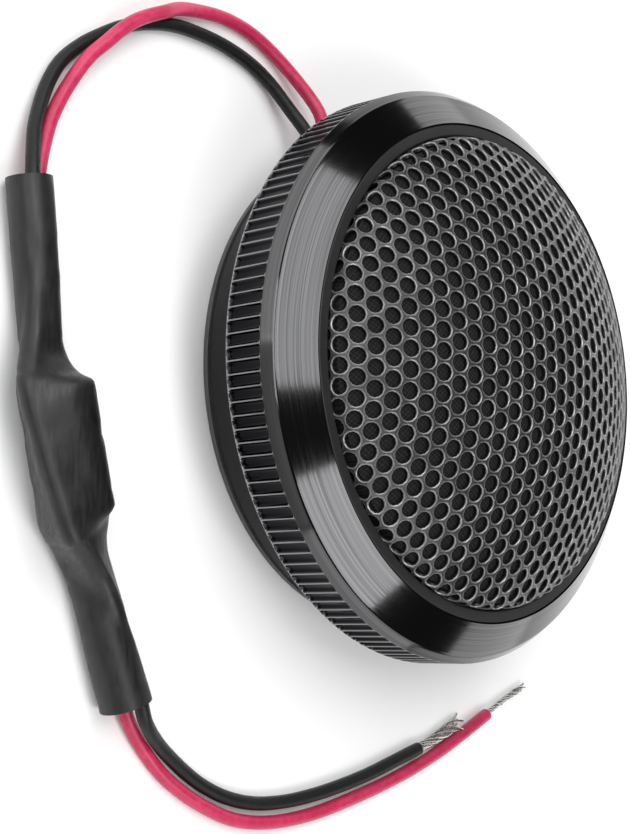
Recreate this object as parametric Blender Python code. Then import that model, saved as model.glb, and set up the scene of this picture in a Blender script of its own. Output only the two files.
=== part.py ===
"""Car tweeter: a 60 mm bezel-mounted dome tweeter with its in-line capacitor lead.

The tweeter lies on its back, with the sound axis along +Z and the origin at the centre of the
rear cover's flat face. Lengths below are in millimetres and angles in degrees; every mesh is
built in metres. X and Y lie in the plane of the surface that the tweeter and its leads rest on.
"""
from math import ceil, cos, pi, radians, sin, sqrt

import bmesh
import bpy
from mathutils import Matrix, Vector

MM = 0.001
GAP = 0.1            # assembly gap between two pieces that touch
SEGMENTS = 36        # facets round a large turned piece
FINE_SEGMENTS = 12   # facets round a screw, a bore or a capacitor

# Bezel: bevelled front, narrow chamfer and a knurled side
BEZEL_RADIUS = 30.0
BEVEL_OUTER_RADIUS = 29.3
BEVEL_OUTER_Z = 13.4
BEVEL_INNER_RADIUS = 25.9
LIP_Z = 16.0
KNURL_TOP_Z = 12.35
SHOULDER_Z = 7.4
KNURL_TEETH = 144
KNURL_DEPTH = 0.35
BEZEL_BORE_RADIUS = 26.3
BEZEL_STEP_Z = 14.6

# Grille: a domed sheet in a narrow frame, with cloth behind it
GRILLE_RADIUS = 24.5
GRILLE_SPHERE_RADIUS = 44.9
GRILLE_APEX_Z = 24.0
GRILLE_THICKNESS = 0.5
GRILLE_FLANGE_Z = 13.3
CLOTH_THICKNESS = 0.15
CLOTH_FLANGE_Z = 13.05

# Rear cup and its cover
CUP_RADIUS = 25.75
CUP_BORE_RADIUS = 24.0
CUP_BOTTOM_Z = 1.15
CUP_TOP_Z = 12.0
COVER_RIM_HEIGHT = 0.75
COVER_THICKNESS = 1.6
BOSS_CIRCLE_RADIUS = 21.9
BOSS_RADIUS = 2.3
BOSS_BORE_RADIUS = 0.9
BOSS_TOP_Z = 10.5
BOSS_ANGLES = (30.0, 150.0, 270.0)
SCREW_SHANK_RADIUS = 0.8
SCREW_HEAD_RADIUS = 1.6
SCREW_HEAD_HEIGHT = 0.75

# Driver: frame, motor and moving dome
FRAME_BORE_RADIUS = 16.1
FRAME_RADIUS = 23.8
FRAME_BOTTOM_Z = 10.6
FRAME_TOP_Z = 12.2
HUB_TOP_Z = 13.15
YOKE_RADIUS = 16.0
YOKE_BOTTOM_Z = 5.2
YOKE_FLOOR_Z = 7.2
MOTOR_TOP_Z = 13.1
AIR_GAP_OUTER_RADIUS = 13.5
POLE_RADIUS = 12.45
MAGNET_RADIUS = 12.0
MAGNET_TOP_Z = 11.1
COIL_INNER_RADIUS = 12.88
COIL_OUTER_RADIUS = 13.22
DOME_RADIUS = 12.7
DOME_BASE_Z = 14.65
DOME_APEX_Z = 19.8
DOME_THICKNESS = 0.2

# Leads
LEAD_RADIUS = 0.7
EXIT_ANGLE = 116.0
LEAD_SPACING = 2.3
LEAD_EXIT_Z = 3.0
GROMMET_HALF_LENGTH = 2.5
GROMMET_HALF_HEIGHT = 1.3
GROMMET_FLANGE = 1.05
TAB_ANGLES = (102.0, 130.0)
TAB_CIRCLE_RADIUS = 20.6
TINSEL_RADIUS = 0.15
CAPACITOR_RADIUS = 3.15
CAPACITOR_LENGTH = 11.0
CAPACITOR_CRIMP = 1.6
CAPACITOR_AXIS_Z = 3.5
CAPACITOR_WIRE_RADIUS = 0.3
SLEEVE_WALL = 0.25
SLEEVE_SIDES = 20
STRAND_RADIUS = 0.45

# The heat-shrink sleeve from its upper to its lower mouth: the centre line's X and Y, the radius
# of the round core, and where the black lead runs beside it, across the sleeve and above the floor
SLEEVE_STATIONS = (
    (-49.3, 13.8, 2.15, -0.3, 3.05),
    (-48.8, 9.6, 2.15, -0.5, 3.0),
    (-48.2, 4.8, 2.1, -0.75, 2.9),
    (-47.7, 0.6, 2.0, -1.35, 3.0),
    (-47.4, -1.8, 2.05, -2.3, 3.4),
    (-47.15, -3.7, 2.6, -3.3, 4.05),
    (-46.95, -5.1, 3.5, -3.78, 4.5),
    (-46.28, -8.0, 3.5, -3.7, 4.85),
    (-45.58, -11.0, 3.5, -3.56, 5.2),
    (-44.88, -14.0, 3.5, -3.33, 5.6),
    (-44.3, -16.5, 3.5, -3.1, 5.9),
    (-43.6, -17.8, 2.9, -2.6, 5.75),
    (-42.6, -19.8, 2.35, -1.6, 5.1),
    (-41.6, -21.8, 2.2, -0.7, 4.4),
    (-40.5, -24.4, 2.2, 0.1, 3.8),
    (-39.2, -28.2, 2.35, 0.7, 3.5),
    (-37.3, -33.4, 2.5, 1.0, 3.4),
)
CAPACITOR_STATIONS = (10, 6)

# Hand-laid routes, as X, Y and Z of the lead's centre
RED_ROUTE = (
    (-10.67, 24.51, 3.0), (-11.1, 26.1, 2.95), (-11.4, 27.7, 2.7), (-12.3, 29.4, 2.1),
    (-14.5, 31.8, 1.3), (-17.1, 33.7, 0.85), (-19.9, 34.9, 0.72), (-23.5, 35.5, 0.72),
    (-27.1, 35.3, 0.8), (-30.4, 34.6, 1.3), (-32.9, 33.5, 1.95), (-35.1, 32.5, 2.15),
    (-37.1, 31.4, 2.25), (-38.9, 30.0, 2.25), (-40.6, 28.4, 2.1), (-42.2, 26.8, 1.75),
    (-43.8, 24.5, 1.45), (-45.5, 21.7, 1.4), (-46.9, 18.7, 1.6),
)
BLACK_ROUTE = (
    (-12.73, 23.5, 3.0), (-13.4, 25.2, 2.7), (-15.0, 27.5, 1.8), (-17.2, 30.0, 1.05),
    (-19.9, 31.6, 0.76), (-23.5, 32.6, 0.72), (-27.0, 33.0, 0.72), (-30.5, 33.0, 0.72),
    (-33.8, 32.4, 0.72), (-37.0, 31.3, 0.72), (-40.1, 29.6, 0.72), (-42.5, 28.0, 0.72),
    (-44.9, 25.8, 0.75), (-46.7, 22.9, 1.0), (-48.2, 19.4, 1.6), (-48.9, 17.3, 2.2),
)
BLACK_TAIL_ROUTE = (
    (-35.3, -35.0, 2.95), (-32.6, -37.2, 1.75), (-29.2, -39.5, 1.0), (-26.2, -41.3, 0.74),
    (-22.9, -42.7, 0.72), (-19.4, -43.5, 0.72), (-15.9, -43.7, 0.72), (-12.2, -43.5, 0.72),
    (-7.7, -42.9, 0.72), (-2.2, -41.8, 0.72), (3.0, -40.4, 0.72), (6.6, -39.4, 0.72),
)
RED_TAIL_ROUTE = (
    (-36.0, -34.6, 1.15), (-34.0, -37.2, 0.76), (-31.4, -39.9, 0.72), (-28.9, -41.7, 0.72),
    (-26.2, -43.2, 0.72), (-22.2, -44.8, 0.72), (-18.0, -45.5, 0.72), (-13.7, -45.5, 0.72),
    (-9.2, -45.0, 0.72), (-4.6, -44.1, 0.72), (0.2, -43.0, 0.72), (5.2, -41.6, 0.72),
    (10.4, -39.8, 0.72), (14.9, -37.9, 0.72), (18.9, -36.1, 0.72),
)
BLACK_STRAND_ROUTE = ((6.75, -39.35, 0.72), (9.2, -38.6, 0.6), (11.8, -37.7, 0.5), (14.5, -36.8, 0.48))
RED_STRAND_ROUTE = ((19.05, -36.03, 0.72), (21.5, -35.0, 0.6), (24.1, -34.0, 0.5), (26.6, -33.1, 0.48))


def clear_scene():
    for old in list(bpy.data.objects):
        bpy.data.objects.remove(old, do_unlink=True)


def finish(name, rgb, roughness, metallic=0.0):
    """A Principled material with one flat colour."""
    material = bpy.data.materials.new(name)
    material.use_nodes = True
    shader = material.node_tree.nodes["Principled BSDF"]
    shader.inputs["Base Color"].default_value = (*rgb, 1.0)
    shader.inputs["Roughness"].default_value = roughness
    shader.inputs["Metallic"].default_value = metallic
    return material


def add_object(name, mesh, material):
    mesh.materials.append(material)
    obj = bpy.data.objects.new(name, mesh)
    bpy.context.scene.collection.objects.link(obj)
    return obj


def to_object(bm, name, material, sharp_angle=40.0):
    """Close a bmesh up with its faces pointing out, and make it a smooth-shaded object."""
    bmesh.ops.recalc_face_normals(bm, faces=bm.faces)
    mesh = bpy.data.meshes.new(name)
    bm.to_mesh(mesh)
    bm.free()
    mesh.shade_smooth()
    mesh.set_sharp_from_angle(angle=radians(sharp_angle))
    return add_object(name, mesh, material)


def turned_bmesh(profile, segments=SEGMENTS):
    """Spin an outline of (radius, height) points round Z. It may start and end on the axis."""
    bm = bmesh.new()
    verts = [bm.verts.new((r * MM, 0, z * MM)) for r, z in profile]
    edges = [bm.edges.new(pair) for pair in zip(verts, verts[1:])]
    if profile[0][0] > 0:
        edges.append(bm.edges.new((verts[-1], verts[0])))
    bmesh.ops.spin(bm, geom=verts + edges, axis=(0, 0, 1), cent=(0, 0, 0),
                   angle=2 * pi, steps=segments, use_duplicate=False)
    bmesh.ops.remove_doubles(bm, verts=bm.verts, dist=1e-7)
    return bm


def turned(name, profile, material, segments=SEGMENTS):
    return to_object(turned_bmesh(profile, segments), name, material)


def round_bar(radius, z_low, z_high, x=0.0, y=0.0, segments=FINE_SEGMENTS):
    """A plain cylinder that stands on Z, as a bmesh."""
    bm = bmesh.new()
    bmesh.ops.create_cone(bm, cap_ends=True, segments=segments, radius1=radius * MM,
                          radius2=radius * MM, depth=(z_high - z_low) * MM)
    middle = Vector((x, y, (z_low + z_high) / 2)) * MM
    bmesh.ops.translate(bm, vec=middle, verts=bm.verts)
    return bm


def prism(outline, low, high):
    """A closed outline of (x, y) points, extruded in Z from low to high, as a bmesh."""
    bm = bmesh.new()
    face = bm.faces.new([bm.verts.new((x * MM, y * MM, low * MM)) for x, y in outline])
    side = bmesh.ops.extrude_face_region(bm, geom=[face])["geom"]
    top = [item for item in side if isinstance(item, bmesh.types.BMVert)]
    bmesh.ops.translate(bm, vec=(0, 0, (high - low) * MM), verts=top)
    bmesh.ops.recalc_face_normals(bm, faces=bm.faces)
    return bm


def box_outline(width, height):
    return [(-width / 2, -height / 2), (width / 2, -height / 2),
            (width / 2, height / 2), (-width / 2, height / 2)]


def stadium(half_length, half_height, steps=6):
    """A slot outline with round ends, long in X."""
    reach = half_length - half_height
    points = []
    for side, start in ((1, -90), (-1, 90)):
        for step in range(steps + 1):
            angle = radians(start + 180 * step / steps)
            points.append((side * reach + half_height * cos(angle), half_height * sin(angle)))
    return points


def polar(radius, angle_deg):
    return radius * cos(radians(angle_deg)), radius * sin(radians(angle_deg))


def carve(obj, cutter_bm, operation="DIFFERENCE"):
    """Cut a bmesh out of an object, or join it on, and keep only the result."""
    mesh = bpy.data.meshes.new("cutter")
    bmesh.ops.recalc_face_normals(cutter_bm, faces=cutter_bm.faces)
    cutter_bm.to_mesh(mesh)
    cutter_bm.free()
    cutter = bpy.data.objects.new("cutter", mesh)
    bpy.context.scene.collection.objects.link(cutter)
    boolean = obj.modifiers.new("carve", "BOOLEAN")
    boolean.operation = operation
    boolean.object = cutter
    depsgraph = bpy.context.evaluated_depsgraph_get()
    result = bpy.data.meshes.new_from_object(obj.evaluated_get(depsgraph))
    obj.modifiers.clear()
    old = obj.data
    obj.data = result
    bpy.data.meshes.remove(old)
    bpy.data.objects.remove(cutter, do_unlink=True)


def radial_frame(angle_deg, z=0.0):
    """Local X runs round the object, local Y up, and local Z out along the radius."""
    out = Vector((*polar(1, angle_deg), 0))
    up = Vector((0, 0, 1))
    frame = Matrix((up.cross(out), up, out)).transposed().to_4x4()
    frame.translation = Vector((0, 0, z * MM))
    return frame


def radial_point(angle_deg, outward, sideways, z):
    """Millimetres along the radius, sideways round the object, and height."""
    x, y = polar(outward, angle_deg)
    side_x, side_y = polar(sideways, angle_deg + 90)
    return x + side_x, y + side_y, z


def smooth_route(points, spacing, samples=24):
    """Points at an even spacing along a Catmull-Rom curve through the route's own points."""
    route = [Vector(point) for point in points]
    route = [2 * route[0] - route[1], *route, 2 * route[-1] - route[-2]]
    dense = []
    for p0, p1, p2, p3 in zip(route, route[1:], route[2:], route[3:]):
        for step in range(samples):
            t = step / samples
            dense.append(0.5 * (2 * p1 + (p2 - p0) * t + (2 * p0 - 5 * p1 + 4 * p2 - p3) * t ** 2
                                + (3 * p1 - p0 - 3 * p2 + p3) * t ** 3))
    dense.append(route[-2])
    travelled = [0.0]
    for a, b in zip(dense, dense[1:]):
        travelled.append(travelled[-1] + (b - a).length)
    count = ceil(travelled[-1] / spacing)
    even = []
    index = 0
    for number in range(count + 1):
        wanted = travelled[-1] * number / count
        while index < len(dense) - 2 and travelled[index + 1] < wanted:
            index += 1
        share = (wanted - travelled[index]) / (travelled[index + 1] - travelled[index])
        even.append(dense[index].lerp(dense[index + 1], min(share, 1.0)))
    return even


def lead(name, route, radius, material, spacing):
    """A round wire along a route, as a curve with a bevel."""
    curve = bpy.data.curves.new(name, "CURVE")
    curve.dimensions = "3D"
    curve.bevel_depth = radius * MM
    curve.bevel_resolution = 2
    curve.use_fill_caps = True
    spline = curve.splines.new("POLY")
    points = smooth_route(route, spacing)
    spline.points.add(len(points) - 1)
    for spot, point in zip(spline.points, points):
        spot.co = (*(point * MM), 1.0)
    return add_object(name, curve, material)


# ---------------------------------------------------------------- bezel and grille

def bezel_ring(material):
    """The knurl and both bevels are turned rings of vertices, stitched one to the next."""
    bm = bmesh.new()
    per_facet = 2 * KNURL_TEETH // SEGMENTS

    def ring(z, radii, count):
        return [bm.verts.new((*polar(radii[i % len(radii)] * MM, 360 * i / count), z * MM))
                for i in range(count)]

    def stitch(lower, upper):
        few, many = sorted((lower, upper), key=len)
        ratio = len(many) // len(few)
        for i in range(len(few)):
            j = (i + 1) % len(few)
            run = [many[(i * ratio + k) % len(many)] for k in range(ratio + 1)]
            bm.faces.new([few[i], few[j], *reversed(run)])

    valley = BEZEL_RADIUS - KNURL_DEPTH
    teeth = (BEZEL_RADIUS, valley)
    inner = [ring(SHOULDER_Z, (BEZEL_BORE_RADIUS,), SEGMENTS),
             ring(BEZEL_STEP_Z, (BEZEL_BORE_RADIUS,), SEGMENTS),
             ring(BEZEL_STEP_Z, (BEVEL_INNER_RADIUS,), SEGMENTS),
             ring(LIP_Z, (BEVEL_INNER_RADIUS,), SEGMENTS)]
    outer = [ring(BEVEL_OUTER_Z, (BEVEL_OUTER_RADIUS,), SEGMENTS),
             ring(KNURL_TOP_Z, (BEZEL_RADIUS,), SEGMENTS * per_facet),
             ring(KNURL_TOP_Z - 0.5, teeth, SEGMENTS * per_facet),
             ring(SHOULDER_Z, teeth, SEGMENTS * per_facet)]
    loop = inner + outer
    for lower, upper in zip(loop, loop[1:] + loop[:1]):
        stitch(lower, upper)
    bmesh.ops.triangulate(bm, faces=bm.faces)
    return to_object(bm, "bezel_ring", material)


def grille_frame(material):
    """The flat matt lip between the bevel and the mesh, held in by a shoulder."""
    outer = BEVEL_INNER_RADIUS - GAP
    shoulder = BEZEL_BORE_RADIUS - GAP
    return turned("grille_frame", [
        (GRILLE_RADIUS + GAP, GRILLE_FLANGE_Z + 0.6), (shoulder, GRILLE_FLANGE_Z + 0.6),
        (shoulder, BEZEL_STEP_Z - GAP), (outer, BEZEL_STEP_Z - GAP),
        (outer, LIP_Z - 0.05), (GRILLE_RADIUS + GAP, LIP_Z - 0.05)], material)


def cap_arc(sphere_radius, steps=6):
    """Points over the grille's dome from its edge to the axis, all on one centre."""
    centre_z = GRILLE_APEX_Z - GRILLE_SPHERE_RADIUS
    slants = [GRILLE_RADIUS / GRILLE_SPHERE_RADIUS * (1 - step / steps) for step in range(steps)]
    points = [(sphere_radius * s, centre_z + sphere_radius * sqrt(1 - s * s)) for s in slants]
    return points + [(0.0, centre_z + sphere_radius)]


def domed_sheet(name, outer_sphere, thickness, flange_z, material):
    """A thin dome with a straight wall under it and a flat flange round its foot."""
    over = cap_arc(outer_sphere)
    under = cap_arc(outer_sphere - thickness)
    flange_radius = BEZEL_BORE_RADIUS - 2 * GAP
    profile = [*reversed(over), (over[0][0], flange_z + thickness),
               (flange_radius, flange_z + thickness), (flange_radius, flange_z),
               (under[0][0], flange_z), *under]
    return turned(name, profile, material)


def grille_clamp_ring(material):
    bore = CUP_BORE_RADIUS + 2 * GAP
    rim = BEZEL_BORE_RADIUS - 2 * GAP
    low, high = CUP_TOP_Z + GAP, CLOTH_FLANGE_Z - GAP
    return turned("grille_clamp_ring", [(bore, low), (rim, low), (rim, high), (bore, high)],
                  material)


# ---------------------------------------------------------------- rear cup and cover

def rear_cup(material):
    collar = BEZEL_BORE_RADIUS - GAP
    cup = turned("rear_cup", [
        (CUP_BORE_RADIUS, CUP_BOTTOM_Z), (CUP_RADIUS - 0.2, CUP_BOTTOM_Z),
        (CUP_RADIUS, CUP_BOTTOM_Z + 0.2), (CUP_RADIUS, SHOULDER_Z + GAP),
        (collar, SHOULDER_Z + GAP), (collar, CUP_TOP_Z), (CUP_BORE_RADIUS, CUP_TOP_Z)], material)
    for angle in BOSS_ANGLES:
        x, y = polar(BOSS_CIRCLE_RADIUS, angle)
        carve(cup, round_bar(BOSS_RADIUS, COVER_THICKNESS + GAP, BOSS_TOP_Z, x, y), "UNION")
        carve(cup, round_bar(BOSS_BORE_RADIUS, 0, BOSS_TOP_Z + 1, x, y))
    hole = prism(stadium(GROMMET_HALF_LENGTH + GAP, GROMMET_HALF_HEIGHT + GAP),
                 CUP_BORE_RADIUS - 2, CUP_RADIUS + 2)
    bmesh.ops.transform(hole, matrix=radial_frame(EXIT_ANGLE, LEAD_EXIT_Z), verts=hole.verts)
    carve(cup, hole)
    return cup


def rear_cover(material):
    spigot = CUP_BORE_RADIUS - GAP
    cover = turned("rear_cover", [
        (0, 0), (CUP_RADIUS - 0.35, 0), (CUP_RADIUS - 0.1, 0.12), (CUP_RADIUS, 0.35),
        (CUP_RADIUS, COVER_RIM_HEIGHT), (CUP_RADIUS - 0.55, COVER_RIM_HEIGHT),
        (CUP_RADIUS - 0.55, CUP_BOTTOM_Z - GAP), (spigot, CUP_BOTTOM_Z - GAP),
        (spigot, COVER_THICKNESS), (0, COVER_THICKNESS)], material)
    for angle in BOSS_ANGLES:
        x, y = polar(BOSS_CIRCLE_RADIUS, angle)
        carve(cover, round_bar(SCREW_HEAD_RADIUS + 0.2, -1, 0.95, x, y))
        carve(cover, round_bar(SCREW_SHANK_RADIUS + 0.2, 0, COVER_THICKNESS + 1, x, y))
    return cover


def screw(name, angle, head_z, length, direction, material):
    """A small pan-head screw with a cross recess; direction is +1 for a head that faces up."""
    head_height = SCREW_HEAD_HEIGHT
    profile = [(0, head_height), (1.15, head_height), (1.5, 0.55), (SCREW_HEAD_RADIUS, 0.2),
               (SCREW_HEAD_RADIUS, 0), (SCREW_SHANK_RADIUS, 0),
               (SCREW_SHANK_RADIUS, -length + 0.6), (0.25, -length), (0, -length)]
    body = turned(name, profile, material, FINE_SEGMENTS)
    for width, depth in ((1.7, 0.4), (0.4, 1.7)):
        carve(body, prism(box_outline(width, depth), head_height - 0.4, head_height + 1))
    x, y = polar(BOSS_CIRCLE_RADIUS, angle)
    turn = 0.0 if direction > 0 else pi
    body.matrix_world = Matrix.Translation(Vector((x, y, head_z)) * MM) @ Matrix.Rotation(
        turn, 4, "X")
    return body


def cable_grommet(material):
    """An oval rubber bush in the cup's wall, with a flange outside and one hole for each lead."""
    bush = prism(stadium(GROMMET_HALF_LENGTH, GROMMET_HALF_HEIGHT),
                 CUP_BORE_RADIUS - 0.8, CUP_RADIUS + 2 * GAP)
    grommet = to_object(bush, "cable_grommet", material)
    flange = prism(stadium(GROMMET_HALF_LENGTH + 0.6, GROMMET_HALF_HEIGHT + 0.45),
                   CUP_RADIUS + GAP, CUP_RADIUS + GAP + GROMMET_FLANGE)
    carve(grommet, flange, "UNION")
    for side in (-1, 1):
        carve(grommet, round_bar(LEAD_RADIUS + GAP, 20, 30, side * LEAD_SPACING / 2, 0))
    grommet.data.transform(radial_frame(EXIT_ANGLE, LEAD_EXIT_Z))
    return grommet


# ---------------------------------------------------------------- driver

def driver_frame(material):
    frame = turned("driver_frame", [
        (FRAME_BORE_RADIUS, 9.4), (FRAME_BORE_RADIUS + 1.1, 9.4),
        (FRAME_BORE_RADIUS + 1.1, FRAME_BOTTOM_Z), (FRAME_RADIUS, FRAME_BOTTOM_Z),
        (FRAME_RADIUS, FRAME_TOP_Z), (19.3, FRAME_TOP_Z), (19.3, HUB_TOP_Z),
        (FRAME_BORE_RADIUS, HUB_TOP_Z)], material)
    for angle in BOSS_ANGLES:
        x, y = polar(BOSS_CIRCLE_RADIUS, angle)
        carve(frame, round_bar(SCREW_SHANK_RADIUS + 0.2, 8, 14, x, y))
    for angle in TAB_ANGLES:
        slot = prism(box_outline(2.2, 4), TAB_CIRCLE_RADIUS - 0.4, TAB_CIRCLE_RADIUS + 0.4)
        bmesh.ops.transform(slot, matrix=radial_frame(angle, 11.5), verts=slot.verts)
        carve(frame, slot)
    return frame


def motor(steel, nickel, felt):
    turned("yoke_cup", [
        (0, YOKE_BOTTOM_Z), (YOKE_RADIUS - 0.5, YOKE_BOTTOM_Z), (YOKE_RADIUS, YOKE_BOTTOM_Z + 0.5),
        (YOKE_RADIUS, MOTOR_TOP_Z), (AIR_GAP_OUTER_RADIUS, MOTOR_TOP_Z),
        (AIR_GAP_OUTER_RADIUS, YOKE_FLOOR_Z), (0, YOKE_FLOOR_Z)], steel)
    turned("magnet", [
        (0, YOKE_FLOOR_Z + GAP), (MAGNET_RADIUS, YOKE_FLOOR_Z + GAP),
        (MAGNET_RADIUS, MAGNET_TOP_Z), (0, MAGNET_TOP_Z)], nickel)
    turned("top_plate", [
        (0, MAGNET_TOP_Z + GAP), (POLE_RADIUS, MAGNET_TOP_Z + GAP),
        (POLE_RADIUS, MOTOR_TOP_Z), (0, MOTOR_TOP_Z)], steel)
    turned("damping_felt", [
        (0, MOTOR_TOP_Z + GAP), (11.0, MOTOR_TOP_Z + GAP), (10.7, 14.2), (0, 14.3)], felt)


def voice_coil_former(material):
    return turned("voice_coil_former", [
        (12.68, 10.4), (12.8, 10.4), (12.8, 14.35), (12.68, 14.35)], material)


def voice_coil(material):
    return turned("voice_coil", [
        (COIL_INNER_RADIUS, 11.1), (COIL_OUTER_RADIUS, 11.1),
        (COIL_OUTER_RADIUS, 13.3), (COIL_INNER_RADIUS, 13.3)], material)


def dome_diaphragm(material, steps=5):
    """A spherical soft dome with a narrow flat rim that is glued on the coil former."""
    height = DOME_APEX_Z - DOME_BASE_Z
    sphere = (DOME_RADIUS ** 2 + height ** 2) / (2 * height)
    centre_z = DOME_APEX_Z - sphere

    def arc(radius, base_z):
        edge = sqrt(radius ** 2 - (base_z - centre_z) ** 2)
        rs = [edge * step / steps for step in range(steps + 1)]
        return [(r, centre_z + sqrt(radius ** 2 - r * r)) for r in rs]

    rim_z = DOME_BASE_Z - DOME_THICKNESS
    profile = [*arc(sphere, DOME_BASE_Z), (13.5, DOME_BASE_Z), (13.5, rim_z),
               *reversed(arc(sphere - DOME_THICKNESS, rim_z))]
    return turned("dome_diaphragm", profile, material)


def surround(material, steps=6):
    """A half-roll between the dome and a flat outer flange."""
    middle, roll, thickness = 14.6, 1.0, 0.18
    rim_z = DOME_BASE_Z - DOME_THICKNESS

    def arc(radius):
        return [(middle - radius * cos(pi * step / steps), rim_z + radius * sin(pi * step / steps))
                for step in range(steps + 1)]

    flange = 18.7
    profile = [*arc(roll), (flange, rim_z), (flange, rim_z - thickness),
               (middle + roll - thickness, rim_z - thickness),
               *reversed(arc(roll - thickness)[:-1])]
    return turned("surround", profile, material)


def surround_ring(material):
    """The stiff ring under the surround's flange, notched where the coil's lead-outs pass."""
    ring = turned("surround_ring", [
        (15.9, HUB_TOP_Z + GAP), (18.8, HUB_TOP_Z + GAP), (18.8, 14.15), (15.9, 14.15)], material)
    for angle in TAB_ANGLES:
        notch = prism(box_outline(1.0, 1.6), 15.0, 19.5)
        bmesh.ops.transform(notch, matrix=radial_frame(angle, 13.1), verts=notch.verts)
        carve(ring, notch)
    return ring


def tinsel_lead(name, angle, material):
    route = [radial_point(angle, r, 0, z) for r, z in (
        (13.5, 13.6), (14.2, 13.85), (15.0, 13.75), (16.2, 13.55), (18.0, 13.55),
        (19.2, 13.7), (20.2, 13.9))]
    return lead(name, route, TINSEL_RADIUS, material, spacing=0.6)


def terminal_tab(name, angle, material):
    """A flat solder tag that drops through the frame and rests on its shoulders."""
    half = [(0.7, 14.2), (0.7, 13.0), (1.6, 12.9), (1.6, 12.3), (1.0, 12.3), (1.0, 9.0), (0.6, 8.4)]
    outline = half + [(-x, y) for x, y in reversed(half)]
    bm = prism(outline, TAB_CIRCLE_RADIUS - 0.25, TAB_CIRCLE_RADIUS + 0.25)
    bmesh.ops.transform(bm, matrix=radial_frame(angle), verts=bm.verts)
    return to_object(bm, name, material)


def inner_lead(name, tab_angle, side, material):
    """From a solder tag down inside the cup, and out through the grommet."""
    beside_tab = TAB_CIRCLE_RADIUS + 0.25 + GAP + LEAD_RADIUS
    hole = side * LEAD_SPACING / 2
    route = [radial_point(tab_angle, beside_tab, 0, z) for z in (10.2, 8.6, 7.0)]
    route += [radial_point(EXIT_ANGLE, 21.3, 2.1 * hole, 4.6),
              radial_point(EXIT_ANGLE, 22.4, 1.15 * hole, 3.2),
              radial_point(EXIT_ANGLE, 23.6, hole, LEAD_EXIT_Z),
              radial_point(EXIT_ANGLE, 26.5, hole, LEAD_EXIT_Z)]
    return lead(name, route, LEAD_RADIUS, material, spacing=1.6)


# ---------------------------------------------------------------- sleeve and capacitor

def sleeve_frames():
    """Each sleeve station as its floor point, its sideways direction and its own numbers."""
    spots = [Vector((x, y, 0)) for x, y, *_ in SLEEVE_STATIONS]
    ends = [spots[0], *spots, spots[-1]]
    frames = []
    for before, spot, after, station in zip(ends, spots, ends[2:], SLEEVE_STATIONS):
        along = (after - before).normalized()
        frames.append((spot, Vector((-along.y, along.x, 0)), station[2:]))
    return frames


def in_sleeve(frame, sideways, height):
    """A point in a sleeve section; sideways is towards +X."""
    spot, side, _ = frame
    return spot + side * sideways + Vector((0, 0, height))


def heat_shrink_sleeve(material):
    """A thin tube shrunk round a round core and the black lead that runs beside it."""
    bm = bmesh.new()
    lead_sleeve_radius = LEAD_RADIUS + GAP + SLEEVE_WALL

    def section(frame, wall):
        core_radius, wire_side, wire_height = frame[2]
        circles = ((0.0, core_radius, core_radius - wall),
                   (wire_side, wire_height, lead_sleeve_radius - wall))
        verts = []
        for number in range(SLEEVE_SIDES):
            nx, nz = polar(1, 360 * number / SLEEVE_SIDES)
            side, height, radius = max(
                circles, key=lambda circle: circle[0] * nx + circle[1] * nz + circle[2])
            point = in_sleeve(frame, side + radius * nx, height + radius * nz)
            verts.append(bm.verts.new(point * MM))
        return verts

    frames = sleeve_frames()
    outer = [section(frame, 0) for frame in frames]
    inner = [section(frame, SLEEVE_WALL) for frame in frames]
    loop = outer + inner[::-1]
    for here, there in zip(loop, loop[1:] + loop[:1]):
        for a in range(SLEEVE_SIDES):
            b = (a + 1) % SLEEVE_SIDES
            bm.faces.new((here[a], here[b], there[b], there[a]))
    bmesh.ops.triangulate(bm, faces=bm.faces)
    return to_object(bm, "heat_shrink_sleeve", material)


def capacitor(material):
    """A small round can with a crimp groove near its rubber end."""
    length, crimp, r = CAPACITOR_LENGTH, CAPACITOR_CRIMP, CAPACITOR_RADIUS
    can = turned("capacitor", [
        (0, 0), (r - 0.6, 0), (r, 0.35), (r, crimp - 0.5), (r - 0.35, crimp), (r, crimp + 0.5),
        (r, length - 0.35), (r - 0.35, length), (0, length)], material, FINE_SEGMENTS + 8)
    frames = sleeve_frames()
    low, high = (in_sleeve(frames[i], 0, CAPACITOR_AXIS_Z) for i in CAPACITOR_STATIONS)
    direction = (high - low).normalized()
    start = (low + high) / 2 - direction * length / 2
    turn = direction.to_track_quat("Z", "Y").to_matrix().to_4x4()
    can.matrix_world = Matrix.Translation(start * MM) @ turn
    return start, start + direction * length, direction


def sleeve_point(index, sideways, height):
    return in_sleeve(sleeve_frames()[index], sideways, height)


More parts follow.
